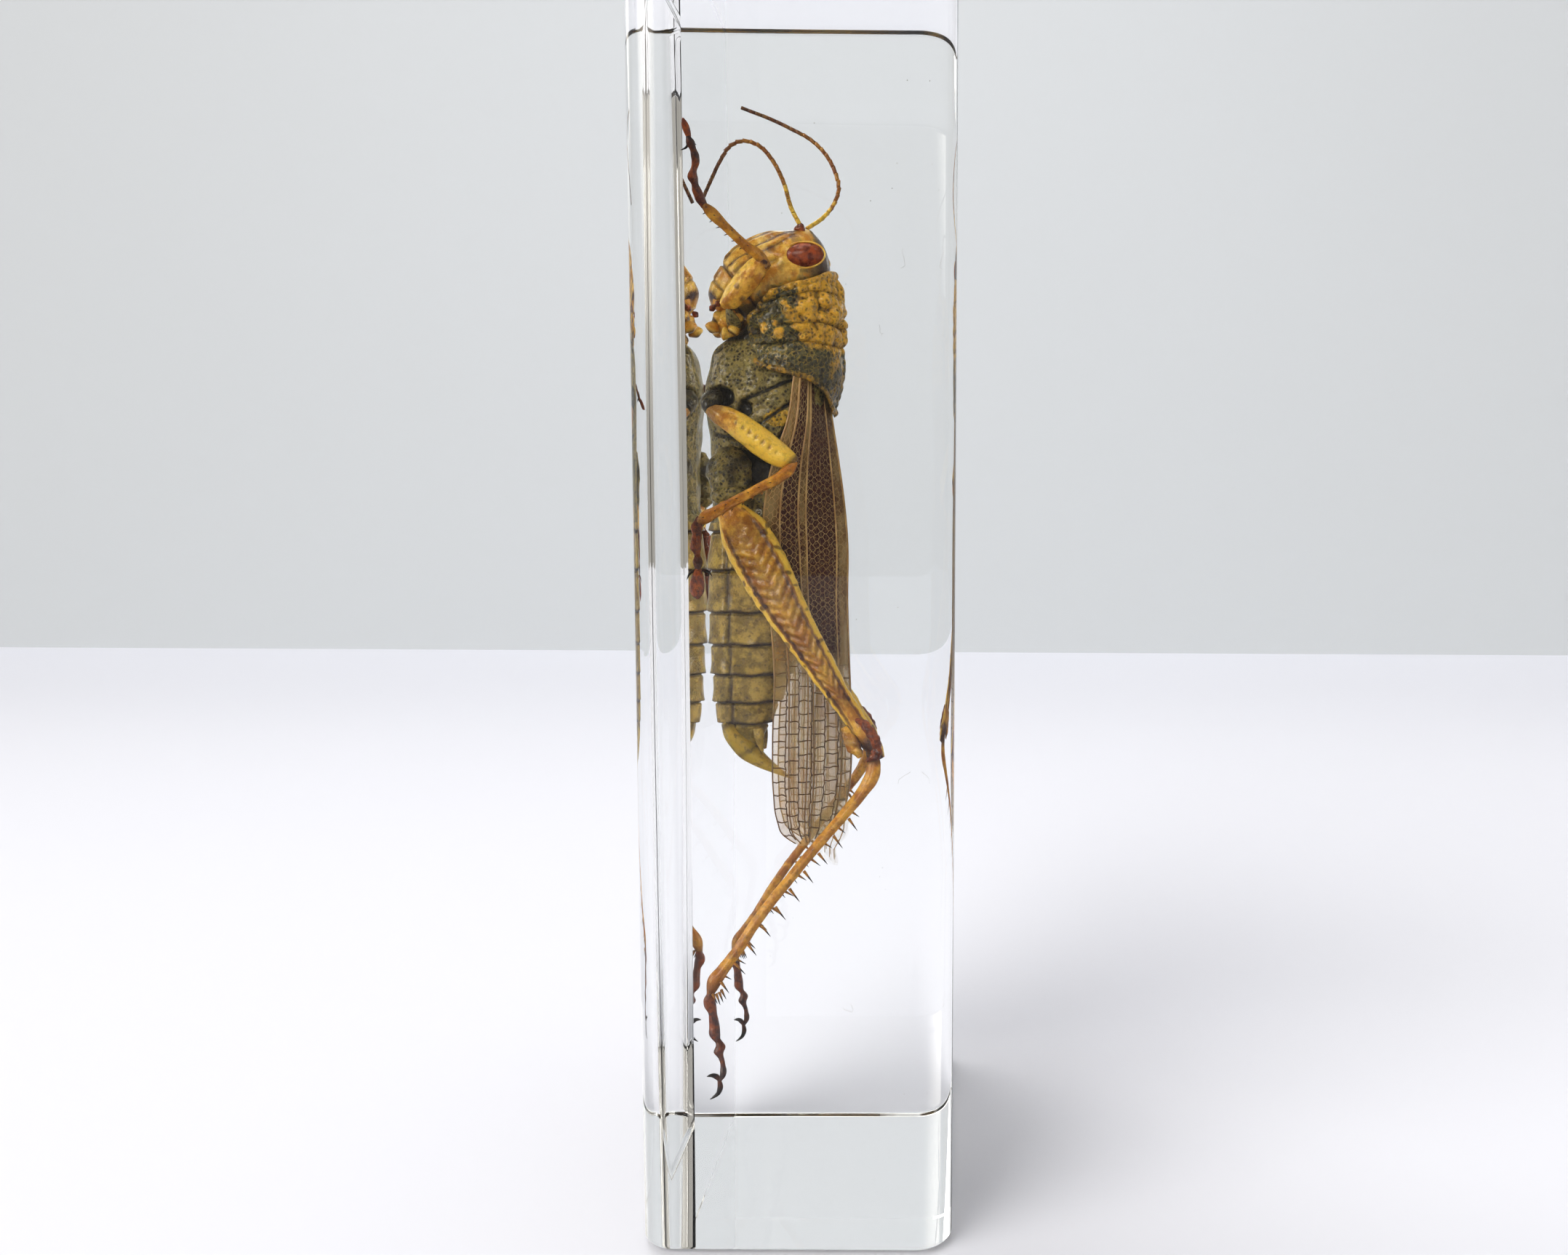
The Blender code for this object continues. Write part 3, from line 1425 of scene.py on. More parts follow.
@dataclass
class Antennae:
    """Two long thin feelers of many short segments."""

    shop: Workshop
    near_path: tuple[Point3, ...] = (
        (-0.6, -1.2, 92.3), (-1.3, -1.6, 93.6), (-2.0, -2.1, 95.9), (-2.9, -2.7, 97.7), (-4.0, -3.1, 98.9),
        (-5.4, -3.4, 99.35), (-6.5, -3.6, 99.0), (-7.5, -3.6, 97.8), (-8.3, -3.6, 96.3), (-9.2, -3.6, 94.4),
    )
    far_path: tuple[Point3, ...] = (
        (-0.2, 1.2, 92.4), (1.2, 2.0, 93.5), (2.2, 2.6, 94.8), (2.7, 3.0, 96.3), (2.4, 3.3, 97.9),
        (1.5, 3.5, 99.6), (0.2, 3.6, 100.9), (-1.6, 3.6, 101.9), (-3.6, 3.5, 102.8), (-5.8, 3.4, 103.6),
    )
    segments: int = 26
    radius: float = 0.215
    tip_share: float = 0.80

    def build(self) -> None:
        """Make both feelers."""
        for side, path in ((Side.NEAR, self.near_path), (Side.FAR, self.far_path)):
            line = flow(path, 90)
            steps = np.linalg.norm(np.diff(line, axis=0), axis=1)
            thick = self.radius * np.linspace(1.0, self.tip_share, len(line))
            net = wires(
                f"antenna_{side.word}_line", line, [(i, i + 1) for i in range(len(line) - 1)], thick
            )
            piece = self.shop.beads.grow(
                f"antenna_{side.word}",
                net,
                {
                    "Count": self.segments,
                    "Length": float(steps.sum()) * 1.03 / (self.segments - 1) * MM,
                    "Sides": 14,
                    "Material": self.shop.palette.feeler,
                },
            )
            self.marks(piece, line)
            self.shop.keep(piece)

    def marks(self, piece: Thing, line: Grid) -> None:
        """Make a feeler pale near its root and dark towards its tip.

        Args:
            piece: the feeler's mesh.
            line: the path that it follows, in millimetres.
        """
        co = np.empty(len(piece.data.vertices) * 3)
        piece.data.vertices.foreach_get("co", co)
        near = np.linalg.norm(co.reshape(-1, 1, 3) / MM - line[None], axis=2).argmin(1) / (len(line) - 1)
        band = 0.5 + 0.5 * np.cos(near * self.segments * 2 * math.pi)
        for key, values in (
            ("tint", step(0.34 - near, 0.0, 0.3)), ("tone", 0.55 * step(near, 0.45, 1.0) + 0.22 * band)
        ):
            layer = piece.data.attributes.new(key, "FLOAT", "POINT")
            layer.data.foreach_set("value", values.astype(np.float32))


@dataclass
class Pronotum:
    """The saddle-shaped shield over the front of the thorax, grooved, rimmed and pitted."""

    shop: Workshop
    centre_x: float = -1.62
    reach: float = 4.68
    half: float = 4.45
    span: float = 140.0
    front: tuple[Point2, ...] = ((0, 88.1), (30, 87.8), (60, 87.0), (90, 86.3), (117, 85.1), (140, 83.0))
    rear: tuple[Point2, ...] = (
        (0, 74.9), (20, 75.5), (40, 76.7), (62, 77.8), (85, 78.4), (125, 79.4), (140, 80.2)
    )
    back_line: tuple[Point2, ...] = (
        (74.5, -1.1), (76.3, -0.55), (77.8, -0.15), (79.6, 0.03), (81.0, -0.1), (83.3, 0.08), (85.4, -0.05),
        (86.9, -0.4), (88.3, -1.1),
    )
    thick: float = 0.24

    def build(self) -> None:
        """Make and dress the shield."""
        u, turn = np.meshgrid(
            np.linspace(0, 1, 190), np.linspace(-self.span, self.span, 240), indexing="ij"
        )
        away = np.abs(turn)
        z = profile(self.front, away) * (1 - u) + profile(self.rear, away) * u
        swell = profile(self.back_line, z)
        rad = np.radians(turn)
        wide = self.half * (1 - 0.10 * step(z, 84.0, 88.5) + 0.05 * step(82.0 - z, 0.0, 5.0))
        x = self.centre_x + (self.reach + swell * step(np.cos(rad), -0.2, 0.9)) * np.cos(rad)
        base = np.stack([x, wide * np.sin(rad), z], -1)
        out = np.stack([np.cos(rad), np.sin(rad), np.zeros_like(rad)], -1)
        edge = np.minimum(np.minimum(u, 1 - u) * 10.0, (self.span - away) * 0.06)
        rim = bell(edge - 0.12, 0.16)
        grooves = bell(z - 83.05 + 0.15 * np.sin(away * 0.09), 0.17) * step(104 - away, 0, 10)
        grooves += bell(z - 81.25 + 0.12 * np.sin(away * 0.07), 0.16) * step(132 - away, 0, 10)
        grooves += bell(
            z - (86.0 - 0.018 * np.maximum(away - 60, 0)), 0.16
        ) * step(away, 12, 30) * step(126 - away, 0, 8)
        grooves = np.clip(grooves, 0, 1)
        dents = pits(base, 0.62, 0.22, 21)
        rough = step(84.2 - z, 0.0, 3.0) * 0.9 + 0.35
        lumps = ripple(base, 0.8, 22) * step(z, 80.6, 82.0) * step(87.2 - z, 0, 0.8)
        keel = bell(away, 5.0)
        folds = ripple(base, 0.45, 23) * step(z, 79.5, 81.5)
        height = (
            0.24 * rim - 0.40 * grooves - 0.15 * dents * rough + 0.34 * lumps + 0.22 * keel
            + 0.08 * folds
        )
        points = base + out * height[..., None]
        lit = np.clip(
            step(100 - away, 0, 45) * step(z, 79.8, 82.3) + 0.35 * step(60 - away, 0, 40) + 0.45 * rim,
            0, 1,
        )
        lit = np.clip(lit + 0.5 * step(lumps, 0.2, 0.6) * step(130 - away, 0, 20), 0, 1)
        lit = np.clip(lit + 0.8 * step(86 - away, 0, 30) * step(z, 80.5, 82.5), 0, 1)
        # brown darkens the shield's lower part and adds painted shade in the hollows between lumps and in
        # the troughs of the folds.
        brown = (
            0.35 * step(80.8 - z, 0.0, 2.5) + 0.5 * step(-lumps, 0.25, 0.6)
            + 0.3 * step(-folds, 0.4, 0.8)
        )
        # The darkening in the grooves is painted shade.
        tone = np.clip(grooves * 1.2 + dents * 0.65 * rough * (1 - 0.5 * lit) + brown, 0, 1)
        tone = tone * (1 - 0.35 * rim) + 0.25 * rim * step(ripple(base, 0.4, 24), -0.2, 0.3)
        shield = plate("pronotum", points[::-1], self.thick, {"tint": lit[::-1], "tone": tone[::-1]})
        self.shop.keep(shield, self.shop.palette.collar)


@dataclass
class Thorax:
    """The chest that the legs and wings spring from, with slanting side plates."""

    shop: Workshop
    cuts: tuple[Cut, ...] = (
        Cut((-4.8, 84.7), (-3.0, 84.8), 0.6),
        Cut((-5.6, 83.5), (0.6, 84.2), 2.3),
        Cut((-6.9, 82.3), (1.5, 82.2), 3.1, power=2.3),
        Cut((-8.7, 81.0), (1.8, 80.2), 3.6, power=2.5),
        Cut((-9.4, 78.6), (1.9, 77.4), 4.2, power=2.6),
        Cut((-9.75, 76.8), (1.7, 75.2), 4.4, power=2.6),
        Cut((-9.6, 74.6), (1.4, 73.0), 4.5, power=2.6),
        Cut((-9.3, 72.0), (1.1, 70.6), 4.4, power=2.5),
        Cut((-9.2, 69.2), (0.9, 68.2), 4.2, power=2.4),
        Cut((-9.2, 66.4), (0.7, 66.0), 3.85, power=2.2),
        Cut((-9.0, 64.2), (0.4, 64.2), 3.4),
        Cut((-7.0, 63.2), (-1.5, 63.2), 1.4),
    )
    sutures: tuple[tuple[Point2, Point2], ...] = (
        ((-5.9, 75.9), (-0.9, 78.0)),
        ((-4.3, 73.7), (-0.7, 76.2)),
        ((-8.6, 72.9), (-2.4, 71.6)),
        ((-3.6, 70.7), (-1.4, 74.0)),
    )
    hollows: tuple[tuple[float, float, float, float], ...] = (
        (-8.1, 76.3, 1.5, 1.05),
        (-5.6, 75.2, 0.7, 0.8),
        (-6.3, 70.2, 2.4, 1.35),
        (-8.6, 81.0, 0.8, 0.5),
        (-4.2, 69.3, 1.5, 1.5),
        (-3.9, 71.6, 1.0, 0.6),
        (-6.0, 73.3, 1.6, 0.5),
    )

    def suture_nearness(self, points: Grid) -> Grid:
        """How close each point is to a suture, 1 on it and 0 away from it.

        Args:
            points: places in millimetres.

        Returns:
            A value for each place.
        """
        found = np.zeros(points.shape[:-1])
        flat = points[..., [0, 2]]
        for (ax, az), (bx, bz) in self.sutures:
            a, way = np.array([ax, az]), np.array([bx - ax, bz - az])
            t = np.clip(((flat - a) @ way) / (way @ way), 0, 1)
            gap = np.linalg.norm(flat - (a + t[..., None] * way), axis=-1)
            found = np.maximum(found, bell(gap, 0.15))
        return found * step(np.abs(points[..., 1]), 1.5, 2.5)

    def hollow_depth(self, points: Grid) -> Grid:
        """How deep each point lies in a leg's socket, 1 at its middle.

        Args:
            points: places in millimetres.

        Returns:
            A value for each place.
        """
        found = np.zeros(points.shape[:-1])
        for x, z, wide, high in self.hollows:
            gap = np.hypot((points[..., 0] - x) / wide, (points[..., 2] - z) / high)
            found = np.maximum(found, step(1.15 - gap, 0.0, 0.5))
        return found * step(np.abs(points[..., 1]), 1.0, 2.4)

    def pitting(self, points: Grid) -> Grid:
        """The plates' dents."""
        return pits(points, 0.55, 0.17, 31) * step(np.abs(points[..., 1]), 1.8, 2.8)

    def relief(self, at: Surface) -> Grid:
        """Sutures, sockets and dents, in millimetres.

        Args:
            at: the places on the surface.

        Returns:
            Heights in millimetres.
        """
        height = -0.30 * self.suture_nearness(at.points) - 0.75 * self.hollow_depth(at.points)
        ridge = 0.22 * bell(at.z - 82.0, 0.22)
        return height - 0.12 * self.pitting(at.points) + 0.09 * ripple(at.points, 1.4, 32) + ridge

    def tone(self, at: Surface) -> Grid:
        """Where the chest is dark, with painted shade in the leg sockets and at its top under the head.

        Args:
            at: the places on the surface.

        Returns:
            From 0 where it is plain to 1 where it is darkest.
        """
        # The darkening in the leg sockets is painted shade.
        dark = 1.2 * self.suture_nearness(at.points) + 1.3 * self.hollow_depth(at.points)
        dark += 0.7 * self.pitting(at.points) * step(ripple(at.points, 2.0, 33), -0.5, 0.2)
        # neck paints the shadow over the chest's top, where it meets the head.
        neck = 1.2 * step(at.z, 81.2, 82.0)
        return np.clip(dark + neck, 0, 1)

    def tint(self, at: Surface) -> Grid:
        """The yellow patch under the wing root."""
        gap = np.hypot((at.x + 2.5) / 1.25, (at.z - 74.4) / 0.8)
        return step(1.2 - gap, 0.0, 0.4)

    def build(self) -> None:
        """Make and dress the chest."""
        chest = Loft(self.cuts, 190, 260, self.relief, {"tone": self.tone, "tint": self.tint})
        self.shop.keep(chest.build("thorax"), self.shop.palette.chest)


@dataclass
class Abdomen:
    """The long jointed abdomen, with the pointed plate that closes a male's."""

    shop: Workshop
    cuts: tuple[Cut, ...] = (
        Cut((-9.0, 66.6), (0.5, 66.6), 3.4),
        Cut((-9.35, 64.2), (0.6, 64.2), 3.6),
        Cut((-9.6, 60.0), (0.5, 60.0), 3.55),
        Cut((-9.65, 56.2), (0.1, 56.4), 3.3),
        Cut((-9.5, 53.0), (-0.7, 53.4), 3.05),
        Cut((-9.35, 50.0), (-1.6, 50.6), 2.8),
        Cut((-9.15, 47.3), (-2.6, 48.2), 2.4),
        Cut((-8.9, 45.9), (-3.4, 46.4), 1.9),
        Cut((-8.4, 44.9), (-4.1, 44.9), 1.45),
        Cut((-7.7, 44.0), (-4.6, 43.9), 1.05),
        Cut((-6.6, 43.3), (-5.0, 43.2), 0.5),
    )
    seams: tuple[float, ...] = (63.9, 60.2, 56.2, 53.1, 50.2, 47.5, 45.4)
    plate_low: tuple[Point2, ...] = (
        (-8.6, 45.2), (-8.4, 44.1), (-7.7, 42.9), (-6.8, 41.9), (-5.5, 41.15), (-3.6, 40.4), (-1.9, 39.85)
    )
    plate_top: tuple[Point2, ...] = (
        (-7.4, 46.0), (-6.7, 45.0), (-5.7, 43.9), (-5.0, 43.0), (-4.2, 42.1), (-3.1, 41.05), (-1.8, 39.95)
    )
    plate_half: tuple[float, ...] = (1.5, 1.55, 1.4, 1.1, 0.8, 0.42, 0.08)

    def relief(self, at: Surface) -> Grid:
        """Each ring swells towards its lower edge and laps over the next.

        Args:
            at: the places on the surface.

        Returns:
            Heights in millimetres.
        """
        z = at.z
        height = 0.05 * ripple(at.points, 1.1, 41)
        for k, seam in enumerate(self.seams):
            top = self.seams[k - 1] if k else 67.0
            inside = (z <= top) & (z > seam)
            height = height + np.where(inside, 0.30 * ((top - z) / (top - seam)) ** 2, 0.0)
            height = height - 0.18 * bell(z - seam + 0.16, 0.12)
        fold = -0.16 * bell(at.x + 7.35 + 0.02 * (z - 50), 0.14)
        return height + fold * step(np.abs(at.y), 0.8, 1.4)

    def tone(self, at: Surface) -> Grid:
        """Dark lines at the joints and along the fold, and a darker back.

        Args:
            at: the places on the surface.

        Returns:
            From 0 where it is plain to 1 where it is darkest.
        """
        z = at.z
        dark = np.zeros(z.shape)
        for seam in self.seams:
            dark = np.maximum(dark, 0.95 * bell(z - seam + 0.08 * np.sin(at.x * 2.0), 0.19))
        fold = 0.85 * bell(at.x + 7.35 + 0.02 * (z - 50), 0.17)
        back = 0.5 * step(at.x, -4.6, -1.0)
        return np.clip(np.maximum(dark, fold) + back, 0, 1)

    def plate_tint(self, at: Surface) -> Grid:
        """The closing plate is yellow all over."""
        return np.full(at.along.shape, 0.9)

    def plate_tone(self, at: Surface) -> Grid:
        """A fine dark seam round the closing plate's root."""
        return 0.6 * bell(at.along - 0.04, 0.04) + 0.35 * bell(at.along - 0.42, 0.03)

    def build(self) -> None:
        """Make and dress the abdomen."""
        shop = self.shop
        rings = Loft(self.cuts, 300, 120, self.relief, {"tone": self.tone})
        shop.keep(rings.build("abdomen"), shop.palette.belly)
        cuts = [
            Cut(low, top, half, 0.0)
            for low, top, half in zip(self.plate_low, self.plate_top, self.plate_half)
        ]
        point = Loft(cuts, 90, 60, marks={"tint": self.plate_tint, "tone": self.plate_tone})
        shop.keep(point.build("closing_plate"), shop.palette.belly)
        for side in Side:
            s = side.value
            spur = (
                Cut((-5.4, 44.9), (-4.4, 45.0), 0.2, s * 1.5),
                Cut((-5.3, 44.2), (-4.3, 44.4), 0.32, s * 1.6),
                Cut((-5.0, 43.4), (-4.3, 43.6), 0.26, s * 1.5),
                Cut((-4.6, 42.6), (-4.4, 42.7), 0.06, s * 1.3),
            )
            shop.keep(Loft(spur, 24, 20).build(f"tail_feeler_{side.word}"), shop.palette.belly)


@dataclass(frozen=True)
class Shift:
    """How a far leg's rest differs from the near one's: a small turn and slide in the side view."""

    x: float = 0.0
    z: float = 0.0
    turn: float = 0.0
    about: Point2 = (0.0, 0.0)


@dataclass
class Leg:
    """What the six legs share: which side they are on, and how that one lies."""

    shop: Workshop
    side: Side
    shift: Shift = Shift()

    def put(self, piece: Thing) -> Thing:
        """Turn and slide a near-side mesh to where this leg lies.

        Args:
            piece: a mesh made as if on the near side.

        Returns:
            The same piece, its mesh moved.
        """
        if self.side is Side.NEAR:
            return piece
        ax, az = self.shift.about
        move = Matrix.Translation((self.shift.x * MM, 0, self.shift.z * MM))
        spin = Matrix.Translation((ax * MM, 0, az * MM)) @ Matrix.Rotation(
            math.radians(self.shift.turn), 4, "Y"
        )
        spin = spin @ Matrix.Translation((-ax * MM, 0, -az * MM))
        piece.data.transform(move @ spin @ Matrix.Scale(-1, 4, (0, 1, 0)))
        return outward(piece)

    def foot(self, name: str, path: Sequence[Point3], wide: Sequence[float]) -> Thing:
        """A foot of padded segments.

        Args:
            name: its name.
            path: its middle line.
            wide: half its width along the line, narrow at each joint.

        Returns:
            The foot.
        """

        def dark(at: Surface) -> Grid:
            """Darker towards the claws, with darker blotches.

            Args:
                at: the places on the surface.

            Returns:
                From 0 where it is plain to 1 where it is darkest.
            """
            return np.clip(
                0.15 + 0.6 * step(at.along, 0.55, 1.0) + 0.3 * step(
                    ripple(at.points, 0.7, 51), 0.1, 0.6
                ),
                0, 1,
            )

        def bumps(at: Surface) -> Grid:
            """Small swellings of the dried skin."""
            return 0.05 * ripple(at.points, 0.5, 52)

        cuts = bent_limb(path, wide, [w * 0.85 for w in wide])
        return Loft(cuts, 90, 28, bumps, {"tone": dark}).build(name)

    def claws(self, name: str, root: Point3, tips: Sequence[Point3], radius: float) -> Thing:
        """A pair of hooked claws.

        Args:
            name: the pair's name.
            root: where both spring from.
            tips: where each ends.
            radius: half a claw's width at the root.

        Returns:
            Both claws as one mesh.
        """
        parts = []
        for k, tip in enumerate(tips):
            a, b = np.array(root), np.array(tip)
            sag = np.array([(b - a)[2], 0, -(b - a)[0]]) * 0.22 * (1 if k else -1)
            stops = [tuple(a + (b - a) * t + sag * math.sin(math.pi * t)) for t in (0, 0.3, 0.6, 0.85, 1.0)]
            wide = [radius * w for w in (0.7, 1.0, 0.75, 0.4, 0.1)]

            def tip_first(at: Surface) -> Grid:
                """The claw darkens towards its tip."""
                return at.along

            claw = Loft(bent_limb(stops, wide, wide), 26, 14, marks={"tone": tip_first})
            parts.append(claw.build(f"{name}_{k}"))
        return joined(name, parts)


@dataclass
class ForeLeg(Leg):
    """A front leg, held up past the face. The fold turns what is beyond its knee."""

    fold: float = 0.0
    lean: Point3 = (0.0, 0.0, 0.0)
    knee: Point3 = (-3.3, -5.2, 88.3)

    def bend(self, piece: Thing) -> Thing:
        """Turn a piece beyond the knee by the fold, lean it out and put it in its place."""
        return self.put(leant(swung(piece, self.knee, self.fold), self.knee, self.lean))

    def build(self) -> None:
        """Make and dress the leg."""
        shop, palette, word = self.shop, self.shop.palette, self.side.word
        coxa = Loft(
            (
                Cut((-7.4, 82.8), (-6.4, 82.4), 0.4, -2.4),
                Cut((-7.4, 83.6), (-6.0, 82.9), 0.7, -3.0),
                Cut((-7.3, 84.3), (-6.2, 83.6), 0.6, -3.7),
                Cut((-7.1, 84.6), (-6.7, 84.2), 0.25, -4.0),
            ),
            30, 30,
        )
        thigh = Loft(
            (
                Cut((-7.8, 84.8), (-7.5, 84.3), 0.35, -4.2),
                Cut((-7.4, 85.7), (-6.5, 84.25), 0.72, -4.4),
                Cut((-6.6, 86.8), (-5.4, 85.0), 0.9, -4.7),
                Cut((-5.7, 87.8), (-4.3, 86.1), 0.9, -5.0),
                Cut((-4.7, 88.6), (-3.5, 87.3), 0.8, -5.2),
                Cut((-4.1, 88.9), (-3.1, 88.1), 0.62, -5.2),
                Cut((-3.7, 89.0), (-3.3, 88.75), 0.2, -5.2),
            ),
            70, 48, self.ribs, {"tone": self.knee_dark, "tint": self.pale},
        )
        shank = Loft(
            bent_limb(
                (
                    (-3.2, -5.2, 87.9), (-3.9, -5.2, 88.8), (-5.3, -5.0, 89.9), (-7.2, -4.6, 91.7),
                    (-8.7, -4.3, 93.2), (-9.2, -4.2, 93.7),
                ),
                (0.3, 0.5, 0.42, 0.40, 0.46, 0.25),
                (0.3, 0.45, 0.38, 0.36, 0.4, 0.22),
            ),
            80, 30, None, {"tone": self.shank_dark, "tint": self.pale},
        )
        foot_path = (
            (-9.1, -4.2, 93.5), (-9.5, -4.1, 94.3), (-9.9, -4.0, 95.4), (-10.15, -3.9, 96.4),
            (-9.95, -3.8, 97.0), (-9.85, -3.8, 97.5), (-10.0, -3.7, 98.3), (-10.4, -3.6, 99.2),
            (-10.6, -3.5, 99.6),
        )
        shop.keep(self.put(coxa.build(f"foreleg_root_{word}")), palette.chest)
        shop.keep(self.put(thigh.build(f"foreleg_thigh_{word}")), palette.thigh)
        shop.keep(self.bend(shank.build(f"foreleg_shank_{word}")), palette.shank)
        foot = self.foot(
            f"foreleg_foot_{word}", foot_path, (0.28, 0.42, 0.36, 0.44, 0.26, 0.38, 0.3, 0.32, 0.15)
        )
        shop.keep(self.bend(foot), palette.foot)
        pad = Loft(
            bent_limb(
                (
                    (-10.4, -3.5, 99.3), (-10.6, -3.5, 100.0), (-10.85, -3.4, 100.7),
                    (-10.95, -3.4, 101.1),
                ),
                (0.15, 0.3, 0.26, 0.06), (0.12, 0.2, 0.16, 0.05),
            ),
            24, 18,
        )
        shop.keep(self.bend(pad.build(f"foreleg_pad_{word}")), palette.foot)
        tips = ((-11.25, -3.2, 98.5), (-9.8, -3.6, 98.9))
        shop.keep(
            self.bend(self.claws(f"foreleg_claws_{word}", (-10.45, -3.5, 99.4), tips, 0.13)),
            palette.claw,
        )
        rows = [
            shop.row_of_spines(
                f"foreleg_spines_{word}", ((-4.9, -5.0, 89.2), (-7.0, -4.6, 91.1), (-8.9, -4.3, 93.0)),
                7, 0.55, 0.09, (-0.5, -0.2, -0.25), 0.4, 61,
            ),
            shop.row_of_spines(
                f"foreleg_spines_b_{word}",
                ((-5.0, -5.3, 89.8), (-7.0, -4.9, 91.7), (-8.8, -4.6, 93.3)), 6, 0.4, 0.08,
                (-0.2, -0.6, 0.1), 0.4, 62,
            ),
        ]
        shop.keep(self.bend(joined(f"foreleg_spines_{word}", rows)))

    def ribs(self, at: Surface) -> Grid:
        """Two faint lengthwise ridges."""
        return 0.05 * np.cos(4 * at.around) + 0.03 * ripple(at.points, 0.8, 63)

    def knee_dark(self, at: Surface) -> Grid:
        """Brown at the knee, with a few brown spots."""
        spots = 0.6 * step(ripple(at.points, 0.7, 64), 0.45, 0.75)
        return np.clip(0.85 * step(at.along, 0.84, 0.95) + spots, 0, 1)

    def shank_dark(self, at: Surface) -> Grid:
        """Dark at both ends of the shank."""
        return np.clip(0.6 * step(0.08 - at.along, 0.0, 0.06) + 0.5 * step(at.along, 0.86, 1.0), 0, 1)

    def pale(self, at: Surface) -> Grid:
        """Paler along the upper edge."""
        return 0.8 * bell(np.cos(at.around) - 1.0, 0.7)


@dataclass
class MidLeg(Leg):
    """A middle leg, bent back over the belly."""

    knee: Point3 = (-0.75, -6.5, 70.3)
    lean: Point3 = (0.0, 0.0, 0.0)

    def bend(self, piece: Thing) -> Thing:
        """Lean a piece beyond the knee outwards and put it in its place."""
        return self.put(leant(piece, self.knee, self.lean))

    def build(self) -> None:
        """Make and dress the leg."""
        shop, palette, word = self.shop, self.shop.palette, self.side.word
        root = Loft(
            (
                Cut((-9.2, 76.9), (-8.1, 77.1), 0.5, -3.0),
                Cut((-9.7, 76.1), (-7.7, 76.5), 0.95, -3.7),
                Cut((-9.55, 75.2), (-7.7, 75.5), 0.95, -4.2),
                Cut((-9.1, 74.6), (-8.1, 74.8), 0.4, -4.5),
            ),
            36, 36, None, {"tone": self.root_dark},
        )
        thigh = Loft(
            (
                Cut((-8.9, 75.5), (-9.2, 75.0), 0.3, -4.6),
                Cut((-8.0, 75.4), (-8.6, 74.2), 0.8, -4.9),
                Cut((-6.5, 75.0), (-7.3, 73.2), 1.05, -5.4),
                Cut((-4.8, 74.1), (-5.9, 72.1), 1.15, -5.9),
                Cut((-3.1, 72.9), (-4.4, 70.95), 1.1, -6.2),
                Cut((-1.75, 71.8), (-3.0, 70.1), 1.0, -6.4),
                Cut((-0.85, 70.95), (-1.9, 69.75), 0.85, -6.5),
                Cut((-0.45, 70.45), (-1.0, 69.75), 0.4, -6.5),
            ),
            120, 64, self.ribs, {"tone": self.thigh_dark, "tint": self.pale},
        )
        shank_path = (
            (-0.75, -6.5, 70.3), (-1.15, -6.5, 69.7), (-2.3, -6.4, 68.75), (-4.1, -6.2, 67.8),
            (-6.2, -5.8, 66.7), (-8.3, -5.4, 65.55), (-9.4, -5.2, 64.95), (-9.9, -5.1, 64.6),
        )
        shank = Loft(
            bent_limb(
                shank_path, (0.3, 0.5, 0.5, 0.45, 0.45, 0.5, 0.55, 0.3),
                (0.3, 0.45, 0.45, 0.4, 0.4, 0.45, 0.5, 0.3),
            ),
            110, 32, None, {"tone": self.shank_dark},
        )
        foot_path = (
            (-9.7, -5.1, 65.1), (-10.0, -5.0, 64.3), (-10.05, -4.9, 63.3), (-10.15, -4.8, 62.4),
            (-10.05, -4.7, 61.8), (-10.0, -4.6, 61.0), (-10.1, -4.5, 60.2),
        )
        foot = self.foot(f"midleg_foot_{word}", foot_path, (0.3, 0.52, 0.42, 0.52, 0.3, 0.45, 0.2))
        pad = Loft(
            bent_limb(
                (
                    (-10.0, -4.6, 60.6), (-10.05, -4.5, 59.9), (-10.15, -4.4, 59.0),
                    (-10.15, -4.4, 58.2), (-10.1, -4.4, 57.8),
                ),
                (0.2, 0.5, 0.66, 0.5, 0.12), (0.15, 0.35, 0.42, 0.3, 0.1),
            ),
            36, 28,
        )
        shop.keep(self.put(root.build(f"midleg_root_{word}")), palette.chest)
        shop.keep(self.put(thigh.build(f"midleg_thigh_{word}")), palette.thigh)
        shop.keep(self.bend(shank.build(f"midleg_shank_{word}")), palette.shank)
        shop.keep(self.bend(foot), palette.foot)
        shop.keep(self.bend(pad.build(f"midleg_pad_{word}")), palette.foot)
        tips = ((-8.8, -4.2, 59.75), (-11.0, -4.7, 59.5))
        shop.keep(
            self.bend(self.claws(f"midleg_claws_{word}", (-9.95, -4.5, 60.3), tips, 0.14)),
            palette.claw,
        )
        rows = [
            shop.row_of_spines(
                f"midleg_spines_{word}", ((-3.0, -6.2, 67.8), (-6.0, -5.8, 66.3), (-9.2, -5.2, 64.6)),
                8, 0.5, 0.09, (-0.35, -0.25, -0.6), 0.4, 71,
            ),
            shop.row_of_spines(
                f"midleg_spines_b_{word}", ((-3.0, -6.7, 68.3), (-6.0, -6.2, 66.9), (-9.2, -5.6, 65.1)),
                7, 0.42, 0.08, (-0.45, -0.7, -0.1), 0.4, 72,
            ),
        ]
        shop.keep(self.bend(joined(f"midleg_spines_{word}", rows)))

    def ribs(self, at: Surface) -> Grid:
        """A keel along each edge and a row of small dents between them.

        Args:
            at: the places on the surface.

        Returns:
            Heights in millimetres.
        """
        keel = 0.10 * bell(np.abs(np.cos(at.around)) - 1.0, 0.12)
        row = bell((at.along * 13) % 1.0 - 0.5, 0.22) * bell(np.cos(at.around) - 0.1, 0.22)
        return (
            keel - 0.09 * row * step(at.along, 0.25, 0.35) * step(0.85 - at.along, 0, 0.1)
            + 0.03 * ripple(at.points, 0.7, 73)
        )

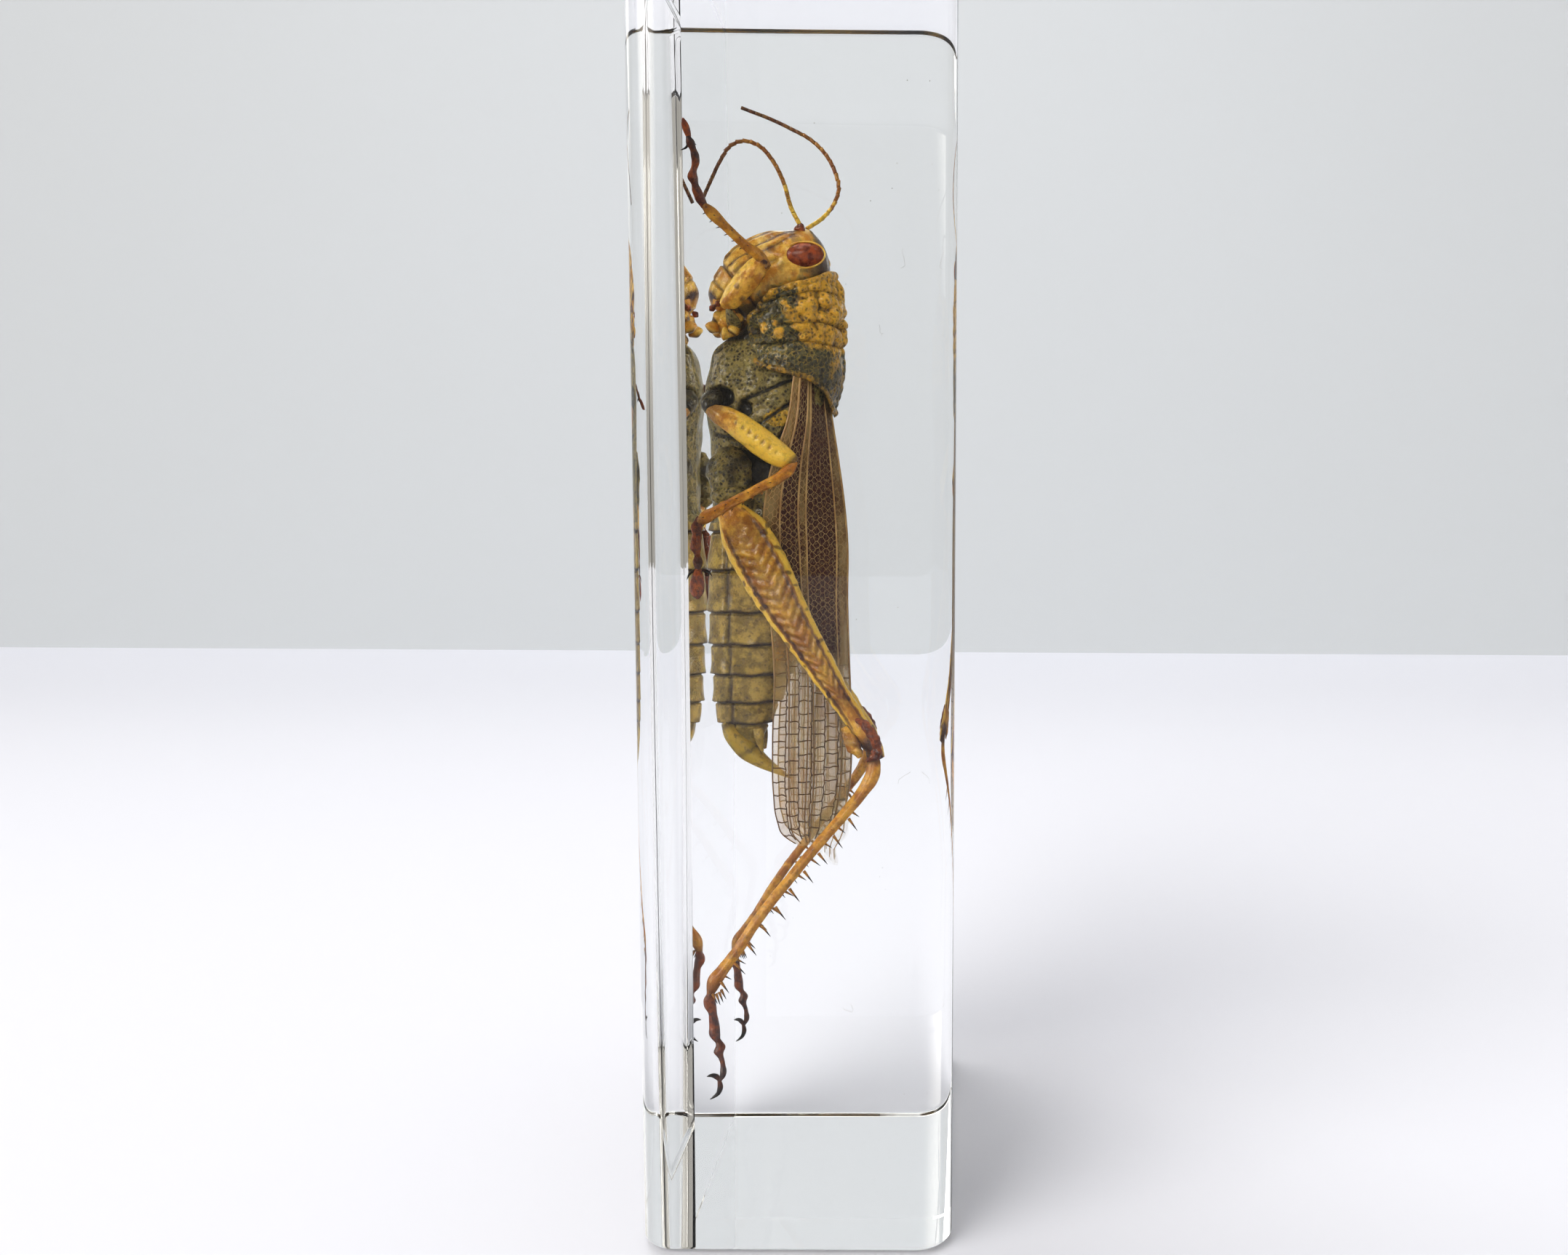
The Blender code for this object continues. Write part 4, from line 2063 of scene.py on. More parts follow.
    def thigh_dark(self, at: Surface) -> Grid:
        """A row of dark marks, a brown root and a brown knee.

        Args:
            at: the places on the surface.

        Returns:
            From 0 where it is plain to 1 where it is darkest.
        """
        row = bell((at.along * 13) % 1.0 - 0.5, 0.2) * bell(np.cos(at.around) - 0.1, 0.2)
        row = row * step(at.along, 0.25, 0.35) * step(0.85 - at.along, 0, 0.1)
        return np.clip(
            0.7 * row + 0.45 * step(0.26 - at.along, 0, 0.2) + 0.8 * step(at.along, 0.92, 0.98), 0, 1
        )

    def root_dark(self, at: Surface) -> Grid:
        """Dark brown with a paler middle."""
        return np.clip(0.75 + 0.4 * ripple(at.points, 0.9, 74), 0, 1)

    def shank_dark(self, at: Surface) -> Grid:
        """Dark at the ankle."""
        return 0.6 * step(at.along, 0.9, 1.0)

    def pale(self, at: Surface) -> Grid:
        """Bright yellow on the lower half of the thigh."""
        return 0.9 * step(at.along, 0.28, 0.4)


@dataclass
class HindLeg(Leg):
    """A jumping leg: a long ribbed thigh, a spined shank and a clawed foot."""

    swing: float = 0.0
    lean: Point3 = (0.0, 0.0, 0.0)
    reach: float = 1.0
    hip: Point3 = (-6.9, -5.9, 66.0)
    knee: Point3 = (5.6, -6.6, 45.0)
    thigh_stations: tuple[tuple[float, float, float, float], ...] = (
        (-1.2, 0.3, 0.3, 0.3),
        (-0.6, 0.9, 0.8, 0.8),
        (0.6, 1.5, 1.4, 1.2),
        (2.5, 2.05, 2.0, 1.45),
        (5.5, 2.3, 2.05, 1.5),
        (9.0, 2.3, 1.7, 1.35),
        (13.0, 1.85, 1.2, 1.1),
        (17.0, 1.4, 0.9, 0.88),
        (20.5, 1.05, 0.7, 0.75),
        (23.0, 0.9, 0.8, 0.75),
        (25.0, 0.95, 1.0, 0.78),
        (26.3, 0.55, 0.9, 0.6),
        (27.2, 0.0, 0.55, 0.2),
    )
    shank_path: tuple[Point3, ...] = (
        (6.0, -6.6, 43.4), (6.45, -6.6, 42.4), (6.3, -6.6, 41.1), (5.3, -6.5, 39.4), (3.2, -6.4, 36.8),
        (0.75, -6.2, 33.9), (-1.5, -6.0, 31.1),
        (-3.7, -5.8, 28.3), (-5.2, -5.6, 26.2), (-6.6, -5.4, 24.0), (-8.0, -5.2, 22.1),
        (-8.95, -5.0, 20.7), (-9.3, -4.9, 19.6),
    )
    shank_wide: tuple[float, ...] = (
        0.3, 0.60, 0.68, 0.58, 0.50, 0.48, 0.47, 0.47, 0.48, 0.50, 0.56, 0.64, 0.3
    )

    def hang(self, piece: Thing) -> Thing:
        """Swing, shorten and lean a piece below the knee, all about the knee.

        Args:
            piece: a mesh made as if on the near side.

        Returns:
            The same piece, its mesh moved.
        """
        x, y, z = (v * MM for v in self.shank_path[0])
        short = Matrix.Diagonal((self.reach, 1.0, self.reach, 1.0))
        piece.data.transform(Matrix.Translation((x, y, z)) @ short @ Matrix.Translation((-x, -y, -z)))
        return leant(swung(piece, self.shank_path[0], self.swing), self.shank_path[0], self.lean)

    def chevrons(self, along: Grid, around: Grid) -> Grid:
        """The herringbone ribs on the thigh's outer face, 1 on a rib.

        Args:
            along: how far along the thigh each place is, from 0 to 1.
            around: the angle round it.

        Returns:
            A value for each place.
        """
        across = np.cos(around)
        outer = step(-np.sin(around), 0.25, 0.6)
        wave = 0.5 + 0.5 * np.cos(2 * math.pi * (along * 27 + 1.5 * np.abs(across + 0.05)))
        panel = step(along, 0.13, 0.2) * step(0.80 - along, 0.0, 0.08) * step(
            0.86 - np.abs(across), 0.0, 0.1
        )
        return wave * outer * panel

    def thigh_relief(self, at: Surface) -> Grid:
        """Keels along both edges, a sunk outer face and its herringbone ribs.

        Args:
            at: the places on the surface.

        Returns:
            Heights in millimetres.
        """
        across = np.abs(np.cos(at.around))
        keel = 0.22 * bell(across - 1.0, 0.10) + 0.16 * bell(across - 0.80, 0.045)
        sunk = -0.20 * step(0.8 - across, 0.0, 0.15)
        fade = step(at.along, 0.06, 0.14) * step(0.9 - at.along, 0.0, 0.08)
        lumps = 0.05 * ripple(at.points, 0.9, 87) + 0.03 * ripple(at.points, 0.35, 88)
        return (keel + sunk + lumps) * fade + 0.12 * self.chevrons(at.along, at.around)

    def thigh_dark(self, at: Surface) -> Grid:
        """Brown outer face, darker between the ribs, and a red-brown knee.

        Args:
            at: the places on the surface.

        Returns:
            From 0 where it is plain to 1 where it is darkest.
        """
        across = np.abs(np.cos(at.around))
        outer = step(0.80 - across, 0.0, 0.12) * step(at.along, 0.08, 0.14) * step(
            0.84 - at.along, 0.0, 0.08
        )
        cloud = 0.14 * ripple(at.points, 1.6, 89)
        ribs = outer * (0.42 + cloud - 0.20 * self.chevrons(at.along, at.around))
        knee = step(at.along, 0.90, 0.94) * step(np.cos(at.around), -0.9, -0.3)
        line = 0.75 * bell(across - 0.74, 0.045) * step(at.along, 0.08, 0.14) * step(
            0.9 - at.along, 0.0, 0.05
        )
        flecks = 0.7 * step(ripple(at.points, 0.55, 90), 0.5, 0.8) * step(across, 0.6, 0.8)
        return np.clip(ribs + 1.1 * knee + line + flecks, 0, 1)

    def thigh_pale(self, at: Surface) -> Grid:
        """Pale yellow keels."""
        return step(np.abs(np.cos(at.around)), 0.78, 0.92)

    def shank_dark(self, at: Surface) -> Grid:
        """Dark at the knee and at the ankle."""
        return np.clip(0.9 * step(0.06 - at.along, 0.0, 0.04) + 0.5 * step(at.along, 0.93, 1.0), 0, 1)

    def shank_relief(self, at: Surface) -> Grid:
        """A shallow groove along the shank."""
        return -0.06 * bell(np.sin(at.around) + 0.75, 0.25) + 0.02 * ripple(at.points, 0.8, 81)

    def build(self) -> None:
        """Make and dress the leg."""
        shop, palette, word = self.shop, self.shop.palette, self.side.word
        root = Loft(
            (
                Cut((-8.2, 71.6), (-6.4, 71.9), 0.6, -3.4),
                Cut((-9.0, 70.4), (-5.5, 71.0), 1.2, -4.2),
                Cut((-9.0, 68.8), (-5.0, 69.2), 1.3, -4.8),
                Cut((-8.6, 67.6), (-5.3, 67.9), 1.0, -5.1),
                Cut((-7.8, 67.0), (-6.2, 67.2), 0.4, -5.1),
            ),
            60, 56, self.root_relief, {"tone": self.root_dark},
        )
        ring = Loft(
            (
                Cut((-8.0, 68.1), (-6.0, 68.3), 0.4, -5.2),
                Cut((-8.6, 67.5), (-5.4, 67.9), 1.0, -5.5),
                Cut((-8.6, 66.8), (-5.3, 67.2), 1.1, -5.7),
                Cut((-8.0, 66.3), (-6.0, 66.5), 0.5, -5.8),
            ),
            36, 44,
        )
        thigh = Loft(
            limb(self.hip, self.knee, self.thigh_stations), 420, 96, self.thigh_relief,
            {"tone": self.thigh_dark, "tint": self.thigh_pale},
        )
        shank = Loft(
            bent_limb(self.shank_path, self.shank_wide, [w * 0.85 for w in self.shank_wide]),
            220, 36, self.shank_relief, {"tone": self.shank_dark},
        )
        foot_path = (
            (-9.2, -4.9, 19.8), (-9.35, -4.8, 18.9), (-9.1, -4.8, 17.9), (-8.95, -4.7, 16.6),
            (-8.85, -4.7, 15.7), (-8.6, -4.7, 15.2),
            (-8.4, -4.7, 14.8), (-8.55, -4.6, 14.1), (-8.35, -4.6, 13.6), (-8.15, -4.6, 12.8),
            (-8.2, -4.6, 12.0), (-8.6, -4.5, 11.4),
        )
        foot_wide = (0.35, 0.58, 0.42, 0.5, 0.5, 0.28, 0.42, 0.45, 0.26, 0.28, 0.3, 0.2)
        shop.keep(self.put(root.build(f"hindleg_root_{word}")), palette.chest)
        shop.keep(self.put(ring.build(f"hindleg_ring_{word}")), palette.chest)
        skin = self.put(thigh.build(f"hindleg_thigh_{word}"))
        shop.keep(skin, palette.thigh)
        shop.keep(self.put(self.hang(shank.build(f"hindleg_shank_{word}"))), palette.shank)
        shop.keep(
            self.put(self.hang(self.foot(f"hindleg_foot_{word}", foot_path, foot_wide))), palette.foot
        )
        tips = ((-9.45, -4.3, 9.6), (-9.65, -4.9, 11.9))
        claws = self.claws(f"hindleg_claws_{word}", (-8.55, -4.5, 11.5), tips, 0.26)
        shop.keep(self.put(self.hang(claws)), palette.claw)
        flange = Loft(
            bent_limb(
                ((3.7, -7.0, 45.7), (4.2, -7.2, 44.7), (4.8, -7.25, 43.6), (5.3, -7.2, 42.9)),
                (0.3, 0.62, 0.62, 0.2), (0.12, 0.3, 0.3, 0.1),
            ),
            40, 36, self.flange_relief, {"tone": self.flange_dark},
        )
        shop.keep(self.put(flange.build(f"knee_flange_{word}")), palette.thigh)
        crescent = Loft(
            bent_limb(
                (
                    (4.6, -6.9, 46.6), (5.6, -7.3, 46.0), (6.4, -7.4, 45.0), (6.8, -7.4, 43.9),
                    (6.5, -7.3, 42.9), (5.8, -7.2, 42.5),
                ),
                (0.12, 0.42, 0.5, 0.5, 0.42, 0.12),
                (0.1, 0.32, 0.38, 0.38, 0.3, 0.1),
            ),
            70, 30, self.flange_relief,
        )
        shop.keep(self.put(crescent.build(f"knee_crescent_{word}")), palette.foot)
        self.spine_rows(word)

    def spine_rows(self, word: str) -> None:
        """Grow the shank's two rows of spines and the spurs at its end.

        Args:
            word: the side, for the pieces' names.
        """
        shop = self.shop
        lean = (0.62, 0.0, -0.78)
        outer = (
            (4.0, -6.75, 36.9), (0.95, -6.55, 33.3), (-1.3, -6.3, 30.5), (-5.0, -5.9, 25.5),
            (-8.2, -5.5, 21.0),
        )
        inner = (
            (4.3, -6.0, 37.4), (1.2, -5.8, 33.7), (-1.1, -5.6, 30.9), (-4.8, -5.2, 25.9),
            (-8.0, -4.8, 21.4),
        )
        rows = [
            shop.row_of_spines(f"hindleg_spines_{word}", outer, 10, 1.55, 0.17, lean, 0.18, 82),
            shop.row_of_spines(
                f"hindleg_spines_b_{word}", inner, 11, 1.15, 0.14, (0.7, 0.35, -0.62), 0.3, 83
            ),
            shop.row_of_spines(
                f"hindleg_spurs_{word}", ((-9.0, -5.3, 19.8), (-8.5, -4.9, 19.8), (-8.3, -4.5, 20.0)),
                4, 1.2, 0.15, (0.35, 0.0, -0.9), 0.2, 84,
            ),
        ]
        shop.keep(self.put(self.hang(joined(f"hindleg_spines_{word}", rows))))

    def flange_relief(self, at: Surface) -> Grid:
        """Small creases of the dried joint."""
        return 0.07 * ripple(at.points, 0.6, 95) + 0.04 * np.sin(at.z * 9)

    def flange_dark(self, at: Surface) -> Grid:
        """Brown blotches in the golden flange, darker along both edges.

        Args:
            at: the places on the surface.

        Returns:
            From 0 where it is plain to 1 where it is darkest.
        """
        return np.clip(
            0.25 + 0.5 * ripple(at.points, 0.7, 96) + 0.4 * step(np.abs(np.cos(at.around)), 0.75, 1.0),
            0, 1,
        )

    def root_relief(self, at: Surface) -> Grid:
        """Soft dents and a slanting ridge."""
        return 0.16 * ripple(at.points, 1.2, 85) + 0.15 * bell(at.z - 69.6 - 0.3 * at.x - 2.1, 0.3)

    def root_dark(self, at: Surface) -> Grid:
        """Dark blotches."""
        return np.clip(0.25 + 0.6 * ripple(at.points, 1.0, 86), 0, 1)


@dataclass
class Wings:
    """The folded wings: two netted covers over two pleated films."""

    shop: Workshop
    back_edge: tuple[Point2, ...] = (
        (33.6, 0.9), (34.6, 2.3), (36.5, 3.2), (39.0, 3.75), (43.0, 4.0), (48.0, 3.9), (52.0, 3.75),
        (57.0, 3.6), (63.0, 3.6),
        (67.0, 3.25), (71.0, 2.7), (75.0, 2.1), (78.5, 1.7),
    )
    belly_edge: tuple[Point2, ...] = (
        (33.6, -0.9), (34.6, -2.4), (36.0, -3.0), (39.0, -3.35), (44.0, -3.35), (50.0, -3.1),
        (56.0, -3.4), (61.0, -3.8),
        (66.0, -3.8), (70.0, -3.0), (74.0, -1.6), (78.5, -0.9),
    )
    depth: tuple[Point2, ...] = (
        (33.6, 2.2), (40.0, 2.7), (50.0, 3.5), (60.0, 4.35), (70.0, 4.95), (78.5, 4.7)
    )
    low: float = 33.6
    high: float = 78.4
    columns: int = 19
    rows: int = 132
    main_veins: tuple[float, ...] = (0.0, 0.13, 0.48, 0.56, 0.80, 1.0)

    def surface(self, along: Grid, across: Grid, side: Side, lift: float = 0.0) -> Grid:
        """Where a point of a wing cover lies.

        Args:
            along: 0 at the root and 1 at the tip.
            across: 0 at the back's edge and 1 at the belly's.
            side: which cover.
            lift: how far outside the cover's face, in millimetres.

        Returns:
            The places in millimetres.
        """
        z = self.high + (self.low - self.high) * along
        back, belly = profile(self.back_edge, z), profile(self.belly_edge, z)
        x = back + (belly - back) * across
        deep = profile(self.depth, z)
        y = 0.35 + (deep - 0.35) * np.sin(np.clip(across, 0, 1) * math.pi / 2) ** 0.85 + lift
        y = y + 0.06 * ripple(np.stack([x, y * 0, z], -1), 2.2, 91)
        return np.stack([x, side.value * y, z], -1)

    def dark_field(self, along: Grid, across: Grid) -> Grid:
        """How dark the cover is: a purple-brown field over the back, tan below and at the edges.

        Args:
            along: 0 at the root and 1 at the tip.
            across: 0 at the back's edge and 1 at the belly's.

        Returns:
            From 0 where it is tan to 1 where it is darkest.
        """
        panel = step(across, 0.08, 0.14) * step(0.50 - across, 0.0, 0.05)
        panel = np.maximum(panel, 0.9 * step(across, 0.54, 0.58) * step(0.84 - across, 0.0, 0.1))
        fade = 1 - step(along + 0.10 * across, 0.52, 0.76)
        return (0.55 + 0.6 * panel) * step(along, -0.05, 0.06) * fade + 0.02

    def cover(self, side: Side) -> None:
        """Make one netted cover: its skin, its fine net and its main veins.

        Args:
            side: which cover.
        """
        shop = self.shop
        along, across = np.meshgrid(np.linspace(0, 1, 200), np.linspace(0, 1, 60), indexing="ij")
        skin = self.surface(along, across, side)
        tone = self.dark_field(along, across)
        shop.keep(plate(f"wing_cover_{side.word}", skin, 0.05, {"tone": tone}), shop.palette.membrane)
        shop.keep(self.net(side))
        shop.keep(self.ribs(side))

    def net(self, side: Side) -> Thing:
        """The fine net of cross-veins: a loose honeycomb that opens out towards the tip.

        Args:
            side: which cover.

        Returns:
            The net as one mesh of thin tubes.
        """
        rng = np.random.default_rng(92 + side.value)
        lines, stops = self.columns, self.rows
        k, j = np.meshgrid(np.arange(lines), np.arange(stops), indexing="ij")
        along = 0.02 + 0.965 * (j + rng.uniform(-0.3, 0.3, k.shape)) / (stops - 1)
        loose = 1 - 0.75 * step(along, 0.5, 0.75)
        inner = (k > 0) & (k < lines - 1)
        zig = np.where((j + k) % 2 == 0, 0.26, -0.26) * loose + rng.uniform(-0.13, 0.13, k.shape)
        across = (k + zig * inner) / (lines - 1)
        points = self.surface(along, np.clip(across, 0, 1), side, 0.03)
        number = k * stops + j
        edges = [
            (int(number[a, b]), int(number[a, b + 1]))
            for a in range(lines)
            for b in range(stops - 1)
            if a % 3 == 0 or along[a, b] < 0.56
        ]
        for a in range(lines - 1):
            for b in range(stops):
                sparse = along[a, b] > 0.56
                wanted = (b + 2 * (a // 3)) % 4 == 0 if sparse else (a + b) % 2 == 0
                if wanted:
                    edges.append((int(number[a, b]), int(number[a + 1, b])))
        thick = 0.046 + 0.014 * step(along, 0.5, 0.75)
        shade = step(along, 0.46, 0.66) * (0.75 + 0.25 * rng.random(along.shape))
        net = wires(f"wing_net_{side.word}_line", points.reshape(-1, 3), edges, thick.ravel(), shade)
        return self.shop.veins(f"wing_net_{side.word}", net, 4)

    def ribs(self, side: Side) -> Thing:
        """The main lengthwise veins and the cover's thick rim.

        Args:
            side: which cover.

        Returns:
            The veins as one mesh.
        """
        stops = 120
        points, edges, thick, shade = [], [], [], []
        for across in self.main_veins:
            along = np.linspace(0.0, 0.995, stops)
            wave = across + 0.012 * np.sin(along * 9 + across * 20) * (0.05 < across < 0.95)
            points.append(self.surface(along, np.clip(wave, 0, 1), side, 0.03))
            start = len(thick)
            edges += [(start + i, start + i + 1) for i in range(stops - 1)]
            thick += list(0.11 * (1 - 0.6 * along) + 0.02)
            shade += list(0.55 * step(along, 0.5, 0.8))
        net = wires(
            f"wing_ribs_{side.word}_line", np.concatenate(points), edges, np.array(thick), np.array(shade)
        )
        return self.shop.veins(f"wing_ribs_{side.word}", net, 6)

    def film(self, side: Side) -> None:
        """Make one hind wing: a pleated clear film whose edge shows past the cover.

        Args:
            side: which wing.
        """
        shop = self.shop
        along, across = np.meshgrid(np.linspace(0, 1, 150), np.linspace(0, 1, 90), indexing="ij")
        z = 72.0 + (32.6 - 72.0) * along
        back = profile(self.back_edge, np.clip(z, 34.2, 78)) - 0.25 + 1.0 * step(along, 0.75, 0.97)
        torn = 0.22 * ripple(np.stack([along * 40, along * 7, along * 0], -1), 1.1, 93 + side.value)
        belly = profile(self.belly_edge, np.clip(z, 34.2, 78)) + 1.4
        x = back + torn * step(0.1 - across, 0, 0.1) + (belly - back) * across
        fold = np.abs(((across * 7) % 2) - 1) * (0.42 * step(along, 0.0, 0.4) + 0.1)
        y = side.value * (0.25 + 1.3 * across + fold)
        z = z - 1.2 * np.cos(across * math.pi * 1.1) * step(along, 0.85, 1.0)
        points = np.stack([x, y, z], -1)
        tone = 0.1 + 0.3 * bell(((across * 7) % 1) - 0.5, 0.08)
        shop.keep(plate(f"hind_wing_{side.word}", points, 0.03, {"tone": tone}), shop.palette.film)
        lines, edges, thick = [], [], []
        for fold_at in np.arange(0.5, 7.0, 1.0) / 7:
            j = int(round(fold_at * 89))
            start = sum(len(part) for part in lines)
            lines.append(points[::3, j])
            edges += [(start + i, start + i + 1) for i in range(len(lines[-1]) - 1)]
            thick += [0.035] * len(lines[-1])
        net = wires(f"hind_wing_veins_{side.word}_line", np.concatenate(lines), edges, np.array(thick))
        shop.keep(shop.veins(f"hind_wing_veins_{side.word}", net, 4))

    def build(self) -> None:
        """Make both pairs of wings."""
        for side in Side:
            self.cover(side)
            self.film(side)


# ---------------------------------------------------------------- the block


@dataclass
class Block:
    """The clear resin block, a finely rounded copy of its frame solid, and what it holds."""

    shop: Workshop
    edge_radius: float = 3.2
    edge_steps: int = 28
    chamfer: float = 0.4
    chamfer_steps: int = 6
    dust: int = 26
    fibres: int = 9
    fibre_steps: int = 14
    pour_left: float = -9.85
    pour_near: float = -12.0
    pour_gap: float = 0.12

    def second_pour(self, low: Grid, high: Grid) -> None:
        """Make the resin's second pour, whose flat face mirrors the insect's underside.

        The first pour set before the insect was laid on it and covered. The two differ by a
        trace in how they bend light, so the face between them shows only at a low angle.

        Args:
            low: the block's lowest corner, in millimetres.
            high: its highest corner.
        """
        gap, radius = self.pour_gap, self.edge_radius
        turns = np.linspace(0, math.pi / 2, 13)
        x, y = high[0] - radius, high[1] - radius
        back = [(x + (radius - gap) * math.cos(a), y + (radius - gap) * math.sin(a)) for a in turns]
        outline = [(self.pour_left, self.pour_near), (high[0] - gap, self.pour_near), *back]
        outline.append((self.pour_left, high[1] - gap))
        n = len(outline)
        verts = [(x, y, z) for z in (low[2] + gap, high[2] - gap) for x, y in outline]
        faces = [(j, (j + 1) % n, n + (j + 1) % n, n + j) for j in range(n)]
        faces += [tuple(reversed(range(n))), tuple(range(n, 2 * n))]
        pour = outward(new_object("resin_second_pour", np.array(verts), faces, {}))
        pour.data.set_sharp_from_angle(angle=0.5)
        self.shop.keep(pour, ResinFinish("second_pour_resin", ior=1.02, density=0.0).material())

    def build(self) -> None:
        """Make the block, its second pour, its dust and its lint."""
        low, high = (np.array(corner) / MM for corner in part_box(BLOCK_NODE))
        half_x, half_y = (high[0] - low[0]) / 2, (high[1] - low[1]) / 2
        middle = (low + high) / 2
        turns, corners = [], []
        for k, (sx, sy) in enumerate(((1, 1), (-1, 1), (-1, -1), (1, -1))):
            for angle in np.linspace(k * math.pi / 2, (k + 1) * math.pi / 2, self.edge_steps + 1):
                turns.append(angle)
                corners.append((sx * (half_x - self.edge_radius), sy * (half_y - self.edge_radius)))
        turns, corners = np.array(turns), np.array(corners)
        rings = [
            (low[2] + self.chamfer * (1 - math.sin(a)), self.chamfer * (1 - math.cos(a)), -math.sin(a))
            for a in np.linspace(math.pi / 2, 0, self.chamfer_steps)
        ]
        rings += [
            (high[2] - self.chamfer * (1 - math.sin(a)), self.chamfer * (1 - math.cos(a)), math.sin(a))
            for a in np.linspace(0, math.pi / 2, self.chamfer_steps)
        ]
        verts, normals = [], []
        for z, inset, up in rings:
            radius = self.edge_radius - inset
            x = middle[0] + corners[:, 0] + radius * np.cos(turns)
            y = middle[1] + corners[:, 1] + radius * np.sin(turns)
            verts.append(np.stack([x, y, np.full(len(x), z)], -1))
            flat = math.sqrt(max(1 - up * up, 0.0))
            normals.append(np.stack([np.cos(turns) * flat, np.sin(turns) * flat, np.full(len(x), up)], -1))
        n, count = len(turns), len(rings)
        faces = [
            (i * n + j, i * n + (j + 1) % n, (i + 1) * n + (j + 1) % n, (i + 1) * n + j)
            for i in range(count - 1)
            for j in range(n)
        ]
        faces.append(tuple(reversed(range(n))))
        faces.append(tuple((count - 1) * n + j for j in range(n)))
        block = new_object("resin", np.concatenate(verts), faces, {})
        block.data.normals_split_custom_set_from_vertices(np.concatenate(normals).tolist())
        block.data.materials.append(ResinFinish().material())
        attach(block, BODY)
        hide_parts(BLOCK_NODE)
        LOG.info("%s: %d faces", block.name, len(block.data.polygons))
        self.second_pour(low, high)
        self.dirt(low, high)

    def dirt(self, low: Grid, high: Grid) -> None:
        """Scatter the dust and lay the lint that the resin caught.

        Args:
            low: the block's lowest corner, in millimetres.
            high: its highest corner.
        """
        shop = self.shop
        seed_mesh = bpy.data.meshes.new("dust_seed")
        seed = bpy.data.objects.new("dust_seed", seed_mesh)
        bpy.context.scene.collection.objects.link(seed)
        grey = DustFinish("grey_dust", (0.20, 0.17, 0.14)).material()
        inside = 2.5  # how far the dust stays from the walls
        dust = shop.specks.grow(
            "dust",
            seed,
            {
                "Count": self.dust,
                "Low": tuple((low + inside) * MM),
                "High": tuple((high - inside) * MM),
                "Size": 0.055 * MM,
                "Seed": 7,
                "Material": grey,
            },
        )
        shop.keep(dust)
        rng = np.random.default_rng(101)
        points, edges = [], []
        for _fibre in range(self.fibres):
            start = rng.uniform(low + 4, high - 4)
            way = rng.normal(size=3)
            line = [start]
            for _step in range(self.fibre_steps):
                way = way / np.linalg.norm(way) + rng.normal(scale=0.35, size=3)
                line.append(np.clip(line[-1] + way * 0.14, low + 2, high - 2))
            first = len(points)
            points += line
            edges += [(first + i, first + i + 1) for i in range(self.fibre_steps)]
        net = wires("lint_line", np.array(points), edges, np.full(len(points), 0.012))
        pale = DustFinish("pale_lint", (0.62, 0.60, 0.58)).material()
        shop.keep(shop.tubes.grow("lint", net, {"Sides": 4, "Material": pale}))


# ---------------------------------------------------------------- the studio


